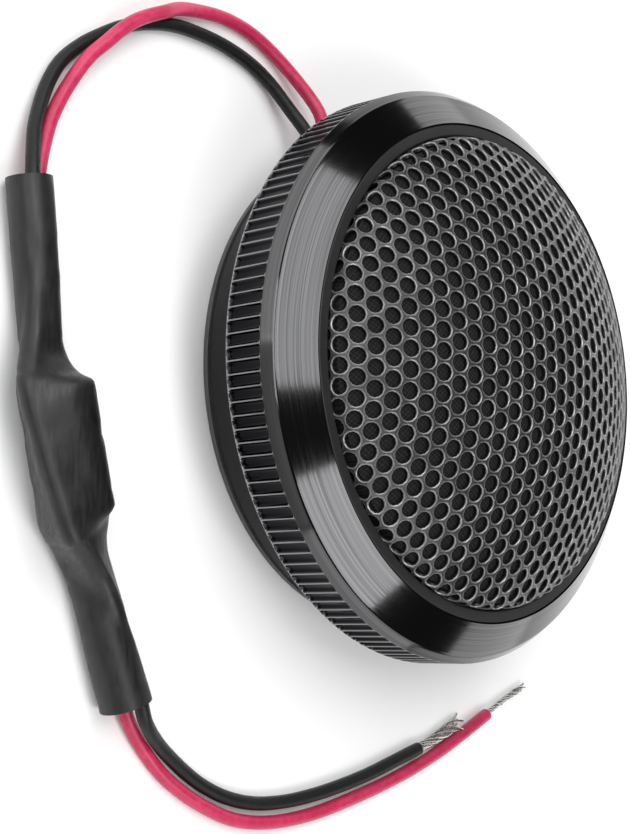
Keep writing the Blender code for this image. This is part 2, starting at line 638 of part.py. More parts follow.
def build():
    clear_scene()
    anodised = finish("black_anodised_aluminium", (0.05, 0.05, 0.055), 0.3, 1.0)
    matt_black = finish("matt_black_abs", (0.03, 0.03, 0.03), 0.6)
    black_steel = finish("black_coated_steel", (0.045, 0.045, 0.045), 0.4, 0.6)
    cloth = finish("black_acoustic_cloth", (0.012, 0.012, 0.012), 0.9)
    silk = finish("coated_silk", (0.02, 0.02, 0.022), 0.6)
    felt = finish("wool_felt", (0.25, 0.24, 0.22), 0.95)
    steel = finish("zinc_plated_steel", (0.55, 0.56, 0.58), 0.35, 1.0)
    nickel = finish("nickel_plated_neodymium", (0.66, 0.64, 0.6), 0.2, 1.0)
    copper = finish("enamelled_copper_wire", (0.6, 0.24, 0.1), 0.3, 1.0)
    kapton = finish("polyimide_film", (0.45, 0.22, 0.05), 0.4)
    brass = finish("tinned_brass", (0.7, 0.62, 0.4), 0.3, 1.0)
    tinned = finish("tinned_copper_strands", (0.7, 0.7, 0.7), 0.3, 1.0)
    rubber = finish("black_rubber", (0.02, 0.02, 0.02), 0.8)
    red_pvc = finish("red_pvc", (0.62, 0.04, 0.12), 0.4)
    black_pvc = finish("black_pvc", (0.015, 0.017, 0.017), 0.4)
    shrink = finish("black_heat_shrink", (0.03, 0.03, 0.03), 0.5)
    can_blue = finish("blue_capacitor_jacket", (0.03, 0.06, 0.2), 0.35)

    bezel_ring(anodised)
    grille_frame(matt_black)
    domed_sheet("grille_mesh", GRILLE_SPHERE_RADIUS, GRILLE_THICKNESS, GRILLE_FLANGE_Z, black_steel)
    domed_sheet("grille_cloth", GRILLE_SPHERE_RADIUS - GRILLE_THICKNESS - GAP, CLOTH_THICKNESS,
                CLOTH_FLANGE_Z, cloth)
    grille_clamp_ring(matt_black)
    rear_cup(matt_black)
    rear_cover(matt_black)
    cable_grommet(rubber)
    for number, angle in enumerate(BOSS_ANGLES, 1):
        screw(f"cover_screw_{number}", angle, 0.85, 3.6, -1, steel)
        screw(f"frame_screw_{number}", angle, FRAME_TOP_Z + GAP, 4.5, 1, steel)

    driver_frame(matt_black)
    motor(steel, nickel, felt)
    voice_coil_former(kapton)
    voice_coil(copper)
    dome_diaphragm(silk)
    surround(silk)
    surround_ring(matt_black)
    for sign, angle, side, pvc in (("red", TAB_ANGLES[0], -1, red_pvc),
                                   ("black", TAB_ANGLES[1], 1, black_pvc)):
        tinsel_lead(f"{sign}_tinsel_lead", angle, copper)
        terminal_tab(f"{sign}_terminal_tab", angle, brass)
        inner_lead(f"{sign}_inner_lead", angle, side, pvc)

    heat_shrink_sleeve(shrink)
    can_low, can_high, can_axis = capacitor(can_blue)
    black_in_sleeve = [in_sleeve(frame, *frame[2][1:]) for frame in sleeve_frames()]
    red_joint = sleeve_point(2, 1.0, 2.1)
    tail_joint = sleeve_point(14, 0.3, 1.2)
    down_at_joint = (sleeve_point(3, 1.0, 2.1) - red_joint).normalized() * GAP
    down_at_tail = (sleeve_point(15, 0.3, 1.2) - tail_joint).normalized() * GAP
    lead("red_lead", [*RED_ROUTE, sleeve_point(0, 1.05, 2.15), sleeve_point(1, 1.05, 2.1),
                      red_joint], LEAD_RADIUS, red_pvc, 3.2)
    lead("upper_capacitor_wire", [
        red_joint + down_at_joint, sleeve_point(3, 0.8, 2.1), sleeve_point(4, 0.5, 2.4),
        sleeve_point(5, 0.0, 3.1), can_high + can_axis * GAP], CAPACITOR_WIRE_RADIUS, tinned, 1.5)
    lead("lower_capacitor_wire", [
        can_low - can_axis * GAP, sleeve_point(11, 0.0, 3.1), sleeve_point(12, 0.1, 2.4),
        sleeve_point(13, 0.3, 1.5), tail_joint], CAPACITOR_WIRE_RADIUS, tinned, 1.5)
    lead("black_lead", [*BLACK_ROUTE, *black_in_sleeve, *BLACK_TAIL_ROUTE],
         LEAD_RADIUS, black_pvc, 3.0)
    lead("red_tail", [tail_joint + down_at_tail, sleeve_point(15, 0.6, 1.2),
                      sleeve_point(16, 0.8, 1.3), *RED_TAIL_ROUTE], LEAD_RADIUS, red_pvc, 3.2)
    lead("black_strands", BLACK_STRAND_ROUTE, STRAND_RADIUS, tinned, 1.5)
    lead("red_strands", RED_STRAND_ROUTE, STRAND_RADIUS, tinned, 1.5)


build()
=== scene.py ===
# %% [markdown]
# # A car tweeter with its in-line capacitor
#
# The object is a 60 mm dome tweeter that lies on its back, with two leads. The red lead passes
# through a small capacitor, and a heat-shrink sleeve covers the joint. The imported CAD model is
# the fixed frame: it gives every place and size. This lesson models the pieces that show over
# it, gives each surface a finish made of nodes, and then sets the light and the camera.

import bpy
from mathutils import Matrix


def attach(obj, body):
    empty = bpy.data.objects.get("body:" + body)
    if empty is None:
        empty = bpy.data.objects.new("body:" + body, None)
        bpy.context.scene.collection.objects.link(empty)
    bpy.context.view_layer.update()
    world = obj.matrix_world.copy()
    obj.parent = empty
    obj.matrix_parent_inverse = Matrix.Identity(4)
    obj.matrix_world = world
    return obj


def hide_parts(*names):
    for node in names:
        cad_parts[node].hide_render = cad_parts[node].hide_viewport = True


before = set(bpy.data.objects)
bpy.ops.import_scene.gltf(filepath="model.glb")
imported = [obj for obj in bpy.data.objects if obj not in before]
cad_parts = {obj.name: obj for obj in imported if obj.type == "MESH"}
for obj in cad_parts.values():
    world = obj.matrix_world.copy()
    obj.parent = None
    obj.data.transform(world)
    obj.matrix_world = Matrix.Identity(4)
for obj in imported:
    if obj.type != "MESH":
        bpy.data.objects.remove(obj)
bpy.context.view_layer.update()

# %% [markdown]
# ## Units and shared tools
#
# Drawings of small parts are in millimetres and Blender works in metres, so one constant turns
# one into the other. Angles are in degrees until a function needs radians. Most of Blender's
# tools work on what is selected, so picking one object is a small function too.

# %% Units
import random
from math import atan2, ceil, cos, hypot, pi, radians, sin, sqrt, tan

import bpy
from mathutils import Matrix, Vector, noise

MM = 0.001


def polar(radius, degrees):
    """X and Y of a point at that radius and angle round the tweeter."""
    return radius * cos(radians(degrees)), radius * sin(radians(degrees))


def pick(piece):
    """Make one object the active one, with nothing else selected."""
    bpy.ops.object.select_all(action="DESELECT")
    piece.select_set(True)
    bpy.context.view_layer.objects.active = piece


print("one millimetre is", MM, "metres")


# %% [markdown]
# ## Camera
#
# A product picture of a small object is taken with a long lens from close by. The camera looks
# down at the tweeter from its left and is rolled until +Y points up in the picture. Its
# position and two of its axes fix it completely, because the third is at right angles to both.

# %% Camera
camera_data = bpy.data.cameras.new("camera")
camera_data.lens = 77.7
camera_data.sensor_width = 36.0
camera_data.clip_start = 0.01
camera = bpy.data.objects.new("camera", camera_data)
bpy.context.scene.collection.objects.link(camera)
picture_right = Vector((0.680, 0.0, 0.733)).normalized()
picture_up = Vector((-0.0874, 0.9929, 0.0811)).normalized()
camera.matrix_world = Matrix(
    (picture_right, picture_up, picture_right.cross(picture_up))).transposed().to_4x4()
camera.location = Vector((-147.63, -26.86, 128.4)) * MM
bpy.context.scene.camera = camera
print("camera is", round(camera.location.length / MM), "mm from the origin")

# %% [markdown]
# ## Routes of the leads
#
# A lead is a fixed length of flexible wire, so it is drawn as a smooth curve through points
# that were measured along it. A Catmull-Rom curve passes through every one of its points. It is
# then sampled at an even spacing, because a tube bends best where its rings are evenly spaced.

# %% Points along the leads and the sleeve, in millimetres
LEAD_RADIUS = 0.7
RED_ROUTE = (
    (-10.67, 24.51, 3.0), (-11.1, 26.1, 2.95), (-11.4, 27.7, 2.7), (-12.3, 29.4, 2.1),
    (-14.5, 31.8, 1.3), (-17.1, 33.7, 0.85), (-19.9, 34.9, 0.72), (-23.5, 35.5, 0.72),
    (-27.1, 35.3, 0.8), (-30.4, 34.6, 1.3), (-32.9, 33.5, 1.95), (-35.1, 32.5, 2.15),
    (-37.1, 31.4, 2.25), (-38.9, 30.0, 2.25), (-40.6, 28.4, 2.1), (-42.2, 26.8, 1.75),
    (-43.8, 24.5, 1.45), (-45.5, 21.7, 1.4), (-46.9, 18.7, 1.6),
)
BLACK_ROUTE = (
    (-12.73, 23.5, 3.0), (-13.4, 25.2, 2.7), (-15.0, 27.5, 1.8), (-17.2, 30.0, 1.05),
    (-19.9, 31.6, 0.76), (-23.5, 32.6, 0.72), (-27.0, 33.0, 0.72), (-30.5, 33.0, 0.72),
    (-33.8, 32.4, 0.72), (-37.0, 31.3, 0.72), (-40.1, 29.6, 0.72), (-42.5, 28.0, 0.72),
    (-44.9, 25.8, 0.75), (-46.7, 22.9, 1.0), (-48.2, 19.4, 1.6), (-48.9, 17.3, 2.2),
)
BLACK_TAIL_ROUTE = (
    (-35.3, -35.0, 2.95), (-32.6, -37.2, 1.75), (-29.2, -39.5, 1.0), (-26.2, -41.3, 0.74),
    (-22.9, -42.7, 0.72), (-19.4, -43.5, 0.72), (-15.9, -43.7, 0.72), (-12.2, -43.5, 0.72),
    (-7.7, -42.9, 0.72), (-2.2, -41.8, 0.72), (3.0, -40.4, 0.72), (6.6, -39.4, 0.72),
)
RED_TAIL_ROUTE = (
    (-36.0, -34.6, 1.15), (-34.0, -37.2, 0.76), (-31.4, -39.9, 0.72), (-28.9, -41.7, 0.72),
    (-26.2, -43.2, 0.72), (-22.2, -44.8, 0.72), (-18.0, -45.5, 0.72), (-13.7, -45.5, 0.72),
    (-9.2, -45.0, 0.72), (-4.6, -44.1, 0.72), (0.2, -43.0, 0.72), (5.2, -41.6, 0.72),
    (10.4, -39.8, 0.72), (14.9, -37.9, 0.72), (18.9, -36.1, 0.72),
)
BLACK_STRAND_ROUTE = (
    (6.3, -39.48, 0.72), (9.2, -38.6, 0.6), (11.8, -37.7, 0.5), (14.5, -36.8, 0.48))
RED_STRAND_ROUTE = (
    (18.6, -36.23, 0.72), (21.5, -35.0, 0.6), (24.1, -34.0, 0.5), (26.6, -33.1, 0.48))
# Sleeve: centre X and Y, core radius, and where the black lead runs, sideways and above the floor
SLEEVE_STATIONS = (
    (-49.3, 13.8, 2.15, -0.3, 3.05), (-48.8, 9.6, 2.15, -0.5, 3.0),
    (-48.2, 4.8, 2.1, -0.75, 2.9), (-47.7, 0.6, 2.0, -1.35, 3.0),
    (-47.4, -1.8, 2.05, -2.3, 3.4), (-47.15, -3.7, 2.6, -3.3, 4.05),
    (-46.95, -5.1, 3.5, -3.78, 4.5), (-46.28, -8.0, 3.5, -3.7, 4.85),
    (-45.58, -11.0, 3.5, -3.56, 5.2), (-44.88, -14.0, 3.5, -3.33, 5.6),
    (-44.3, -16.5, 3.5, -3.1, 5.9), (-43.6, -17.8, 2.9, -2.6, 5.75),
    (-42.6, -19.8, 2.35, -1.6, 5.1), (-41.6, -21.8, 2.2, -0.7, 4.4),
    (-40.5, -24.4, 2.2, 0.1, 3.8), (-39.2, -28.2, 2.35, 0.7, 3.5),
    (-37.3, -33.4, 2.5, 1.0, 3.4),
)
print("points on the black lead before the sleeve:", len(BLACK_ROUTE))


# %% Smooth curves
def through(points, samples):
    """A Catmull-Rom curve through vectors of any length, with that many samples a stretch."""
    line = [Vector(point) for point in points]
    line = [2 * line[0] - line[1], *line, 2 * line[-1] - line[-2]]
    dense = []
    for p0, p1, p2, p3 in zip(line, line[1:], line[2:], line[3:]):
        for t in (step / samples for step in range(samples)):
            dense.append(0.5 * (2 * p1 + (p2 - p0) * t + (2 * p0 - 5 * p1 + 4 * p2 - p3) * t ** 2
                                + (3 * p1 - p0 - 3 * p2 + p3) * t ** 3))
    return [*dense, line[-2]]


def evenly(points, spacing):
    """The same line again, with its points that far apart."""
    travelled = [0.0]
    for here, there in zip(points, points[1:]):
        travelled.append(travelled[-1] + (there - here).length)
    count = ceil(travelled[-1] / spacing)
    line, index = [], 0
    for wanted in (travelled[-1] * number / count for number in range(count + 1)):
        while index < len(points) - 2 and travelled[index + 1] < wanted:
            index += 1
        share = (wanted - travelled[index]) / (travelled[index + 1] - travelled[index])
        line.append(points[index].lerp(points[index + 1], min(share, 1.0)))
    return line


print("samples in a short smooth curve:", len(through(RED_STRAND_ROUTE, 12)))


# %% The sleeve's cross-sections
def sections(stations):
    """Each station as its floor point, the direction across it, and its last three numbers."""
    spots = [Vector((station[0], station[1], 0)) for station in stations]
    ends = [spots[0], *spots, spots[-1]]
    found = []
    for before, spot, after, station in zip(ends, spots, ends[2:], stations):
        along = (after - before).normalized()
        found.append((spot, Vector((-along.y, along.x, 0)), tuple(station[2:])))
    return found


def in_section(section, sideways, height):
    """A point of a section, from how far sideways of its middle and above the floor it lies."""
    spot, side, _ = section
    return spot + side * sideways + Vector((0, 0, height))


def in_sleeve(index, sideways, height):
    """The same for one of the sleeve's stations, counted from the tweeter's end."""
    return in_section(sections(SLEEVE_STATIONS)[index], sideways, height)


print("sections along the sleeve:", len(sections(SLEEVE_STATIONS)))


# %% [markdown]
# ## The leads
#
# On the real object these are stranded copper wires in soft PVC, 1.4 mm across. Each is one
# open curve with a round bevel, so its centre line keeps the true length. The red lead ends at
# the capacitor inside the sleeve, and a second red piece leaves the other end of it. The black
# lead runs straight past the capacitor. A second point just inside each end keeps the shading
# of the cut ends crisp.

# %% Make the leads
END_SHARE = 0.06     # of the spacing, between an end and the point just inside it


def lead(name, route, spacing=0.7):
    """A round wire along a route in millimetres, as one open curve."""
    curve = bpy.data.curves.new(name, "CURVE")
    curve.dimensions = "3D"
    curve.bevel_depth = LEAD_RADIUS * MM
    curve.bevel_resolution = 5
    curve.use_fill_caps = True
    line = [point * MM for point in evenly(through(route, 24), spacing)]
    line.insert(1, line[0].lerp(line[1], END_SHARE))
    line.insert(-1, line[-1].lerp(line[-2], END_SHARE))
    spline = curve.splines.new("POLY")
    spline.points.add(len(line) - 1)
    for spot, point in zip(spline.points, line):
        spot.co = (*point, 1.0)
    spline.use_smooth = True
    made = bpy.data.objects.new(name, curve)
    bpy.context.scene.collection.objects.link(made)
    length = sum((b - a).length for a, b in zip(line, line[1:]))
    print(name, "is", round(length / MM, 1), "mm long")
    return made, line[0], length


black_in_sleeve = [in_section(section, *section[2][1:]) for section in sections(SLEEVE_STATIONS)]
red_joint, tail_joint = in_sleeve(2, 1.0, 2.1), in_sleeve(14, 0.3, 1.2)
tail_start = tail_joint + (in_sleeve(15, 0.3, 1.2) - tail_joint).normalized() * 0.1
red_lead, red_exit, red_length = lead(
    "red_lead_wire", [*RED_ROUTE, in_sleeve(0, 1.05, 2.15), in_sleeve(1, 1.05, 2.1), red_joint])
black_lead, black_exit, black_length = lead(
    "black_lead_wire", [*BLACK_ROUTE, *black_in_sleeve, *BLACK_TAIL_ROUTE])
red_tail, tail_exit, tail_length = lead(
    "red_tail_wire", [tail_start, in_sleeve(15, 0.6, 1.2), in_sleeve(16, 0.8, 1.3),
                      *RED_TAIL_ROUTE])


# %% [markdown]
# ## Bare strands
#
# Where the insulation is stripped, fine tinned wires show. The black lead's strands have come
# apart a little, and the red lead's are twisted tight. Each strand is its own thin curve that
# winds round the bundle's line and moves away from it towards the tip. The bundle is then made
# one mesh, because several splines in one curve can't be a single cord.

# %% Make the strands
STRAND_RADIUS = 0.12
WIDER, LOWER = 1.2, 0.7     # a bundle that lies on a table is a little flat


def strands(name, route, count, turns, packed, flare, seed):
    """Thin wires wound round a route, spread apart by flare millimetres at their tips."""
    chance = random.Random(seed)
    line = evenly(through(route, 12), 0.3)
    curve = bpy.data.curves.new(name, "CURVE")
    curve.dimensions = "3D"
    curve.bevel_depth = STRAND_RADIUS * MM
    curve.bevel_resolution = 1
    curve.use_fill_caps = True
    for number in range(count):
        start = 2 * pi * number / max(count - 1, 1)
        reach = packed if number else 0.0
        spread, lean = chance.uniform(0.2, 1.0) * flare, chance.uniform(-0.6, 0.6)
        last = len(line) - 1 - chance.randrange(0, 4)
        spline = curve.splines.new("POLY")
        spline.points.add(last)
        for index in range(last + 1):
            share = index / (len(line) - 1)
            along = (line[min(index + 1, len(line) - 1)] - line[max(index - 1, 0)]).normalized()
            side = Vector((0, 0, 1)).cross(along).normalized()
            up = along.cross(side)
            angle = start + 2 * pi * turns * share + lean * share
            away = reach + spread * share ** 2
            point = (line[index] + side * away * cos(angle) * WIDER
                     + up * away * sin(angle) * LOWER)
            point.z = max(point.z, STRAND_RADIUS + 0.02)
            spline.points[index].co = (*(point * MM), 1.0)
    made = bpy.data.objects.new(name, curve)
    bpy.context.scene.collection.objects.link(made)
    pick(made)
    bpy.ops.object.convert(target="MESH")
    print(name, "has", count, "wires and", len(made.data.polygons), "faces")
    return made


black_wires = strands("black_strand_wires", BLACK_STRAND_ROUTE, 11, 0.8, 0.36, 0.75, 3)
red_wires = strands("red_strand_wires", RED_STRAND_ROUTE, 8, 1.4, 0.27, 0.1, 5)


# %% [markdown]
# ## Heat-shrink sleeve
#
# The sleeve is a thin polyolefin tube that was heated until it gripped what is inside: the red
# lead, the capacitor, and the black lead beside them. Taut film over two round bodies follows
# the convex hull of two circles, so each section is that hull: a round core, and a smaller
# circle where the black lead makes a ridge. Spacing the points evenly round each section
# keeps the faces from twisting. A Solidify modifier then gives the film its thickness.

# %% Shape of one section
SLEEVE_WALL = 0.25
SLEEVE_POINTS = 56
RIDGE_RADIUS = LEAD_RADIUS + 0.1 + SLEEVE_WALL
SLOW_RIPPLE, QUICK_RIPPLE = 0.16, 0.06


def hull(section):
    """Evenly spaced points round the core and the ridge, from the underside round."""
    core, ridge_side, ridge_height = section[2]
    circles = ((0.0, core, core), (ridge_side, ridge_height, RIDGE_RADIUS))
    outline = []
    for number in range(180):
        nx, nz = polar(1, 2 * number - 90)
        side, height, radius = max(circles, key=lambda c: c[0] * nx + c[1] * nz + c[2])
        outline.append(Vector((side + radius * nx, height + radius * nz)))
    loop = [Vector((*point, 0)) for point in [*outline, outline[0]]]
    total = sum((b - a).length for a, b in zip(loop, loop[1:]))
    return evenly(loop, total / SLEEVE_POINTS * 1.00001)[:SLEEVE_POINTS]


def crease(point, along):
    """How far the film lies off the hull: soft ripples that run round it, in millimetres."""
    slow = noise.noise(Vector((point.x * 0.35, along * 0.55, point.z * 0.35)))
    quick = noise.noise(Vector((point.x * 0.7 + 9, along * 1.9, point.z * 0.7)))
    return SLOW_RIPPLE * slow + QUICK_RIPPLE * quick


print("points in a section:", len(hull(sections(SLEEVE_STATIONS)[0])))

# %% Make the sleeve
stations = [tuple(point) for point in through(
    [Vector(station) for station in SLEEVE_STATIONS], 5)]
verts, faces = [], []
for row, section in enumerate(sections(stations)):
    middle = in_section(section, 0, section[2][0])
    for outline_point in hull(section):
        point = in_section(section, outline_point.x, outline_point.y)
        outward = (point - middle).normalized()
        point += outward * min(crease(point, row * 0.6), 0.0)
        point.z = max(point.z, 0.02)
        verts.append(point * MM)
for row in range(len(stations) - 1):
    for a in range(SLEEVE_POINTS):
        b = (a + 1) % SLEEVE_POINTS
        base, above = row * SLEEVE_POINTS, (row + 1) * SLEEVE_POINTS
        faces.append((base + a, base + b, above + b, above + a))
mesh = bpy.data.meshes.new("shrunk_sleeve")
mesh.from_pydata(verts, [], faces)
sleeve = bpy.data.objects.new("shrunk_sleeve", mesh)
bpy.context.scene.collection.objects.link(sleeve)
pick(sleeve)
bpy.ops.object.mode_set(mode="EDIT")
bpy.ops.mesh.select_all(action="SELECT")
bpy.ops.mesh.normals_make_consistent(inside=False)
bpy.ops.object.mode_set(mode="OBJECT")
print("faces of the film:", len(faces))

# %% Give the film its thickness
wall = sleeve.modifiers.new("wall", "SOLIDIFY")
wall.thickness = SLEEVE_WALL * MM
wall.offset = -1.0
bpy.ops.object.modifier_apply(modifier=wall.name)
bpy.ops.object.shade_smooth_by_angle(angle=radians(50))
print("sleeve faces:", len(sleeve.data.polygons))


# %% [markdown]
# ## Turned pieces
#
# A lathe cuts every round piece here from its outline. In Blender the same thing is a Spin: one
# vertex is extruded from corner to corner round the half-section, and the outline is spun once
# round Z. Many small steps keep the rims round in a close view.

# %% A lathe
def lathe(name, outline, steps=144, closed=True):
    """Extrude a vertex round an outline of (radius, height) points and spin it round Z."""
    bpy.ops.object.select_all(action="DESELECT")
    bpy.ops.mesh.primitive_plane_add(size=MM, location=(0, 0, 0), enter_editmode=True)
    bpy.ops.mesh.select_all(action="SELECT")
    bpy.ops.mesh.merge(type="CENTER")
    spots = [Vector((radius, 0, height)) * MM for radius, height in outline]
    spots += spots[:1] if closed else []
    bpy.ops.transform.translate(value=spots[0])
    for here, there in zip(spots, spots[1:]):
        bpy.ops.mesh.extrude_vertices_move(TRANSFORM_OT_translate={"value": there - here})
    bpy.ops.mesh.select_all(action="SELECT")
    bpy.ops.mesh.spin(steps=steps, angle=2 * pi, center=(0, 0, 0), axis=(0, 0, 1))
    bpy.ops.mesh.select_all(action="SELECT")
    bpy.ops.mesh.remove_doubles(threshold=0.001 * MM)
    bpy.ops.mesh.normals_make_consistent(inside=False)
    bpy.ops.object.mode_set(mode="OBJECT")
    made = bpy.context.object
    made.name = name
    made.data.name = name
    bpy.ops.object.shade_smooth_by_angle(angle=radians(30))
    print(name, "faces:", len(made.data.polygons))
    return made


# %% Cutting and joining
def cut(piece, cutter, operation="DIFFERENCE"):
    """Apply a Boolean with another object, and remove that object."""
    pick(piece)
    boolean = piece.modifiers.new("cut", "BOOLEAN")
    boolean.operation = operation
    boolean.object = cutter
    bpy.ops.object.modifier_apply(modifier=boolean.name)
    bpy.data.objects.remove(cutter, do_unlink=True)


def bar(radius, low, high, x, y, vertices=32):
    """A plain round bar that stands on Z, to cut or join with."""
    bpy.ops.object.select_all(action="DESELECT")
    bpy.ops.mesh.primitive_cylinder_add(
        vertices=vertices, radius=radius * MM, depth=(high - low) * MM,
        location=(x * MM, y * MM, (low + high) / 2 * MM))
    bpy.ops.object.transform_apply(location=True, rotation=True, scale=True)
    return bpy.context.object


# %% [markdown]
# ## Bezel ring
#
# The bezel is turned from aluminium bar: a wide bevel at the front, a narrow chamfer, and a side
# wall with 144 pressed flutes that leave thin ridges between them. It is spun with ten steps
# for each flute. Two of the ten stay out at full radius as the ridge, and the other eight are
# pushed in. Each flute has steep sides and closed, rounded ends, so the depth at a point comes
# from how far inside a rounded rectangle that point lies.

# %% Turn the bezel
BEZEL_RADIUS = 30.0
FLUTES = 144
STEPS_PER_FLUTE = 10
FLUTE_DEPTH = 0.36
FLUTE_LOW_Z, FLUTE_HIGH_Z = 7.82, 12.27
END_ROWS = (0.0, 0.07, 0.18, 0.4)
CORNER_RADIUS = 0.42
SIDE_SLOPE = 0.22

wall_heights = [7.75, *(FLUTE_LOW_Z + row for row in END_ROWS),
                *(FLUTE_HIGH_Z - row for row in reversed(END_ROWS)), 12.35]
bezel = lathe("bezel_ring_fluted", [
    (26.3, 7.4), (29.5, 7.4), *((BEZEL_RADIUS, height) for height in wall_heights),
    (29.96, 12.41), (29.40, 13.25), (29.345, 13.333), (29.24, 13.446), (29.16, 13.507),
    (26.07, 15.87), (25.98, 15.939), (25.9, 15.94), (25.9, 15.85), (25.9, 14.6),
    (26.3, 14.6)], steps=FLUTES * STEPS_PER_FLUTE)


# %% Press the flutes
def flute_depth(step, height):
    """How far in the wall lies at one of a flute's ten steps, at that height."""
    half_width = pi * BEZEL_RADIUS / FLUTES * (STEPS_PER_FLUTE - 1) / STEPS_PER_FLUTE
    from_side = half_width * (1 - abs(2 * (step - 1) / (STEPS_PER_FLUTE - 1) - 1))
    from_end = min(height - FLUTE_LOW_Z, FLUTE_HIGH_Z - height)
    inside = min(from_side, from_end)
    if max(from_side, from_end) < CORNER_RADIUS:
        inside = CORNER_RADIUS - hypot(CORNER_RADIUS - from_side, CORNER_RADIUS - from_end)
    return FLUTE_DEPTH * min(sqrt(max(inside, 0.0) / SIDE_SLOPE), 1.0)


for vertex in bezel.data.vertices:
    radius = hypot(vertex.co.x, vertex.co.y) / MM
    if radius > BEZEL_RADIUS - 0.01:
        turn = atan2(vertex.co.y, vertex.co.x) / (2 * pi) * FLUTES * STEPS_PER_FLUTE
        step = round(turn) % STEPS_PER_FLUTE or STEPS_PER_FLUTE
        share = 1 - flute_depth(step, vertex.co.z / MM) / radius
        vertex.co.x *= share
        vertex.co.y *= share
pick(bezel)
bpy.ops.object.shade_smooth_by_angle(angle=radians(35))
print("flutes:", FLUTES, "and", FLUTE_DEPTH, "mm deep")

# %% [markdown]
# ## Lip, rear cup and cover
#
# The matt lip between the bevel and the mesh is a moulded ring with slightly rounded edges. The
# rear cup is a plain moulded can with three screw bosses inside and an oval hole for the leads.
# The cover closes it with three screws in counterbores. Booleans make the bosses and holes, as
# a mould maker adds and subtracts them from the turned shape.

# %% Make the lip
lip = lathe("grille_lip_ring", [
    (24.6, 13.9), (26.2, 13.9), (26.2, 14.5), (25.8, 14.5), (25.8, 15.87), (25.72, 15.95),
    (24.75, 15.95), (24.6, 15.85)])

# %% Make the rear cup
BOSS_CIRCLE_RADIUS = 21.9
BOSS_ANGLES = (30.0, 150.0, 270.0)
EXIT_ANGLE = 116.0
LEAD_EXIT_Z = 3.0
BOSS_RADIUS, PILOT_HOLE_RADIUS = 2.3, 0.9
OPENING_HALF_WIDTH, OPENING_HALF_HEIGHT = 2.6, 1.4

cup = lathe("rear_cup_moulded", [
    (24.0, 1.15), (25.52, 1.15), (25.66, 1.19), (25.75, 1.35), (25.75, 7.45), (25.8, 7.5),
    (26.2, 7.5), (26.2, 11.9), (26.1, 12.0), (24.1, 12.0), (24.0, 11.9)])
for angle in BOSS_ANGLES:
    x, y = polar(BOSS_CIRCLE_RADIUS, angle)
    cut(cup, bar(BOSS_RADIUS, 1.7, 10.5, x, y), "UNION")
    cut(cup, bar(PILOT_HOLE_RADIUS, 0.0, 11.5, x, y))
opening = bar(OPENING_HALF_HEIGHT, 21.0, 28.0, 0, 0)
bpy.ops.object.mode_set(mode="EDIT")
bpy.ops.mesh.select_all(action="SELECT")
bpy.ops.transform.resize(value=(OPENING_HALF_WIDTH / OPENING_HALF_HEIGHT, 1, 1),
                         center_override=(0, 0, 0))
bpy.ops.object.mode_set(mode="OBJECT")
outward = Vector((*polar(1, EXIT_ANGLE), 0))
radial = Matrix((Vector((0, 0, 1)).cross(outward), Vector((0, 0, 1)), outward)).transposed()
radial = Matrix.Translation((0, 0, LEAD_EXIT_Z * MM)) @ radial.to_4x4()
opening.data.transform(radial)
cut(cup, opening)
bpy.ops.object.shade_smooth_by_angle(angle=radians(30))
print("rear cup faces:", len(cup.data.polygons))

# %% Make the cover
COUNTERBORE_RADIUS, CLEARANCE_HOLE_RADIUS = 1.8, 1.0

cover = lathe("rear_cover_moulded", [
    (0, 0), (22.9, 0), (23.0, 0.1), (23.3, 0.1), (23.4, 0), (25.4, 0), (25.65, 0.12),
    (25.75, 0.35), (25.75, 0.7), (25.7, 0.75), (25.2, 0.75), (25.2, 1.05), (23.9, 1.05),
    (23.9, 1.55), (23.85, 1.6), (0, 1.6)], closed=False)
for angle in BOSS_ANGLES:
    x, y = polar(BOSS_CIRCLE_RADIUS, angle)
    cut(cover, bar(COUNTERBORE_RADIUS, -1, 0.95, x, y))
    cut(cover, bar(CLEARANCE_HOLE_RADIUS, 0, 2.6, x, y))
bpy.ops.object.shade_smooth_by_angle(angle=radians(30))
print("cover faces:", len(cover.data.polygons))

# %% [markdown]
# ## Screws
#
# Three small pan-head screws hold the cover and three hold the driver. One is modelled: a turned
# head and shank with a cross recess cut in the head. All six are copies of it, each with its
# own mesh turned and moved to its boss, and the pattern is then thrown away.

# %% Model one screw
HEAD_HEIGHT = 0.75
RECESS_LENGTH, RECESS_WIDTH, RECESS_HEIGHT, RECESS_MIDDLE = 1.7, 0.42, 0.9, 0.8

screw = lathe("screw_pattern", [
    (0, HEAD_HEIGHT), (1.0, HEAD_HEIGHT), (1.3, 0.68), (1.5, 0.5), (1.6, 0.2), (1.6, 0), (0.8, 0),
    (0.8, -3.0), (0.25, -3.6), (0, -3.6)], steps=32, closed=False)
for width, depth in ((RECESS_LENGTH, RECESS_WIDTH), (RECESS_WIDTH, RECESS_LENGTH)):
    bpy.ops.object.select_all(action="DESELECT")
    bpy.ops.mesh.primitive_cube_add(size=1, location=(0, 0, 0), enter_editmode=True)
    bpy.ops.mesh.select_all(action="SELECT")
    bpy.ops.transform.resize(value=(width * MM, depth * MM, RECESS_HEIGHT * MM),
                             center_override=(0, 0, 0))
    bpy.ops.transform.translate(value=(0, 0, RECESS_MIDDLE * MM))
    bpy.ops.object.mode_set(mode="OBJECT")
    cut(screw, bpy.context.object)
bpy.ops.object.shade_smooth_by_angle(angle=radians(30))
print("screw pattern with its recess, faces:", len(screw.data.polygons))

# %% Copy it to every boss
COVER_SCREW_Z, FRAME_SCREW_Z = 0.85, 12.3

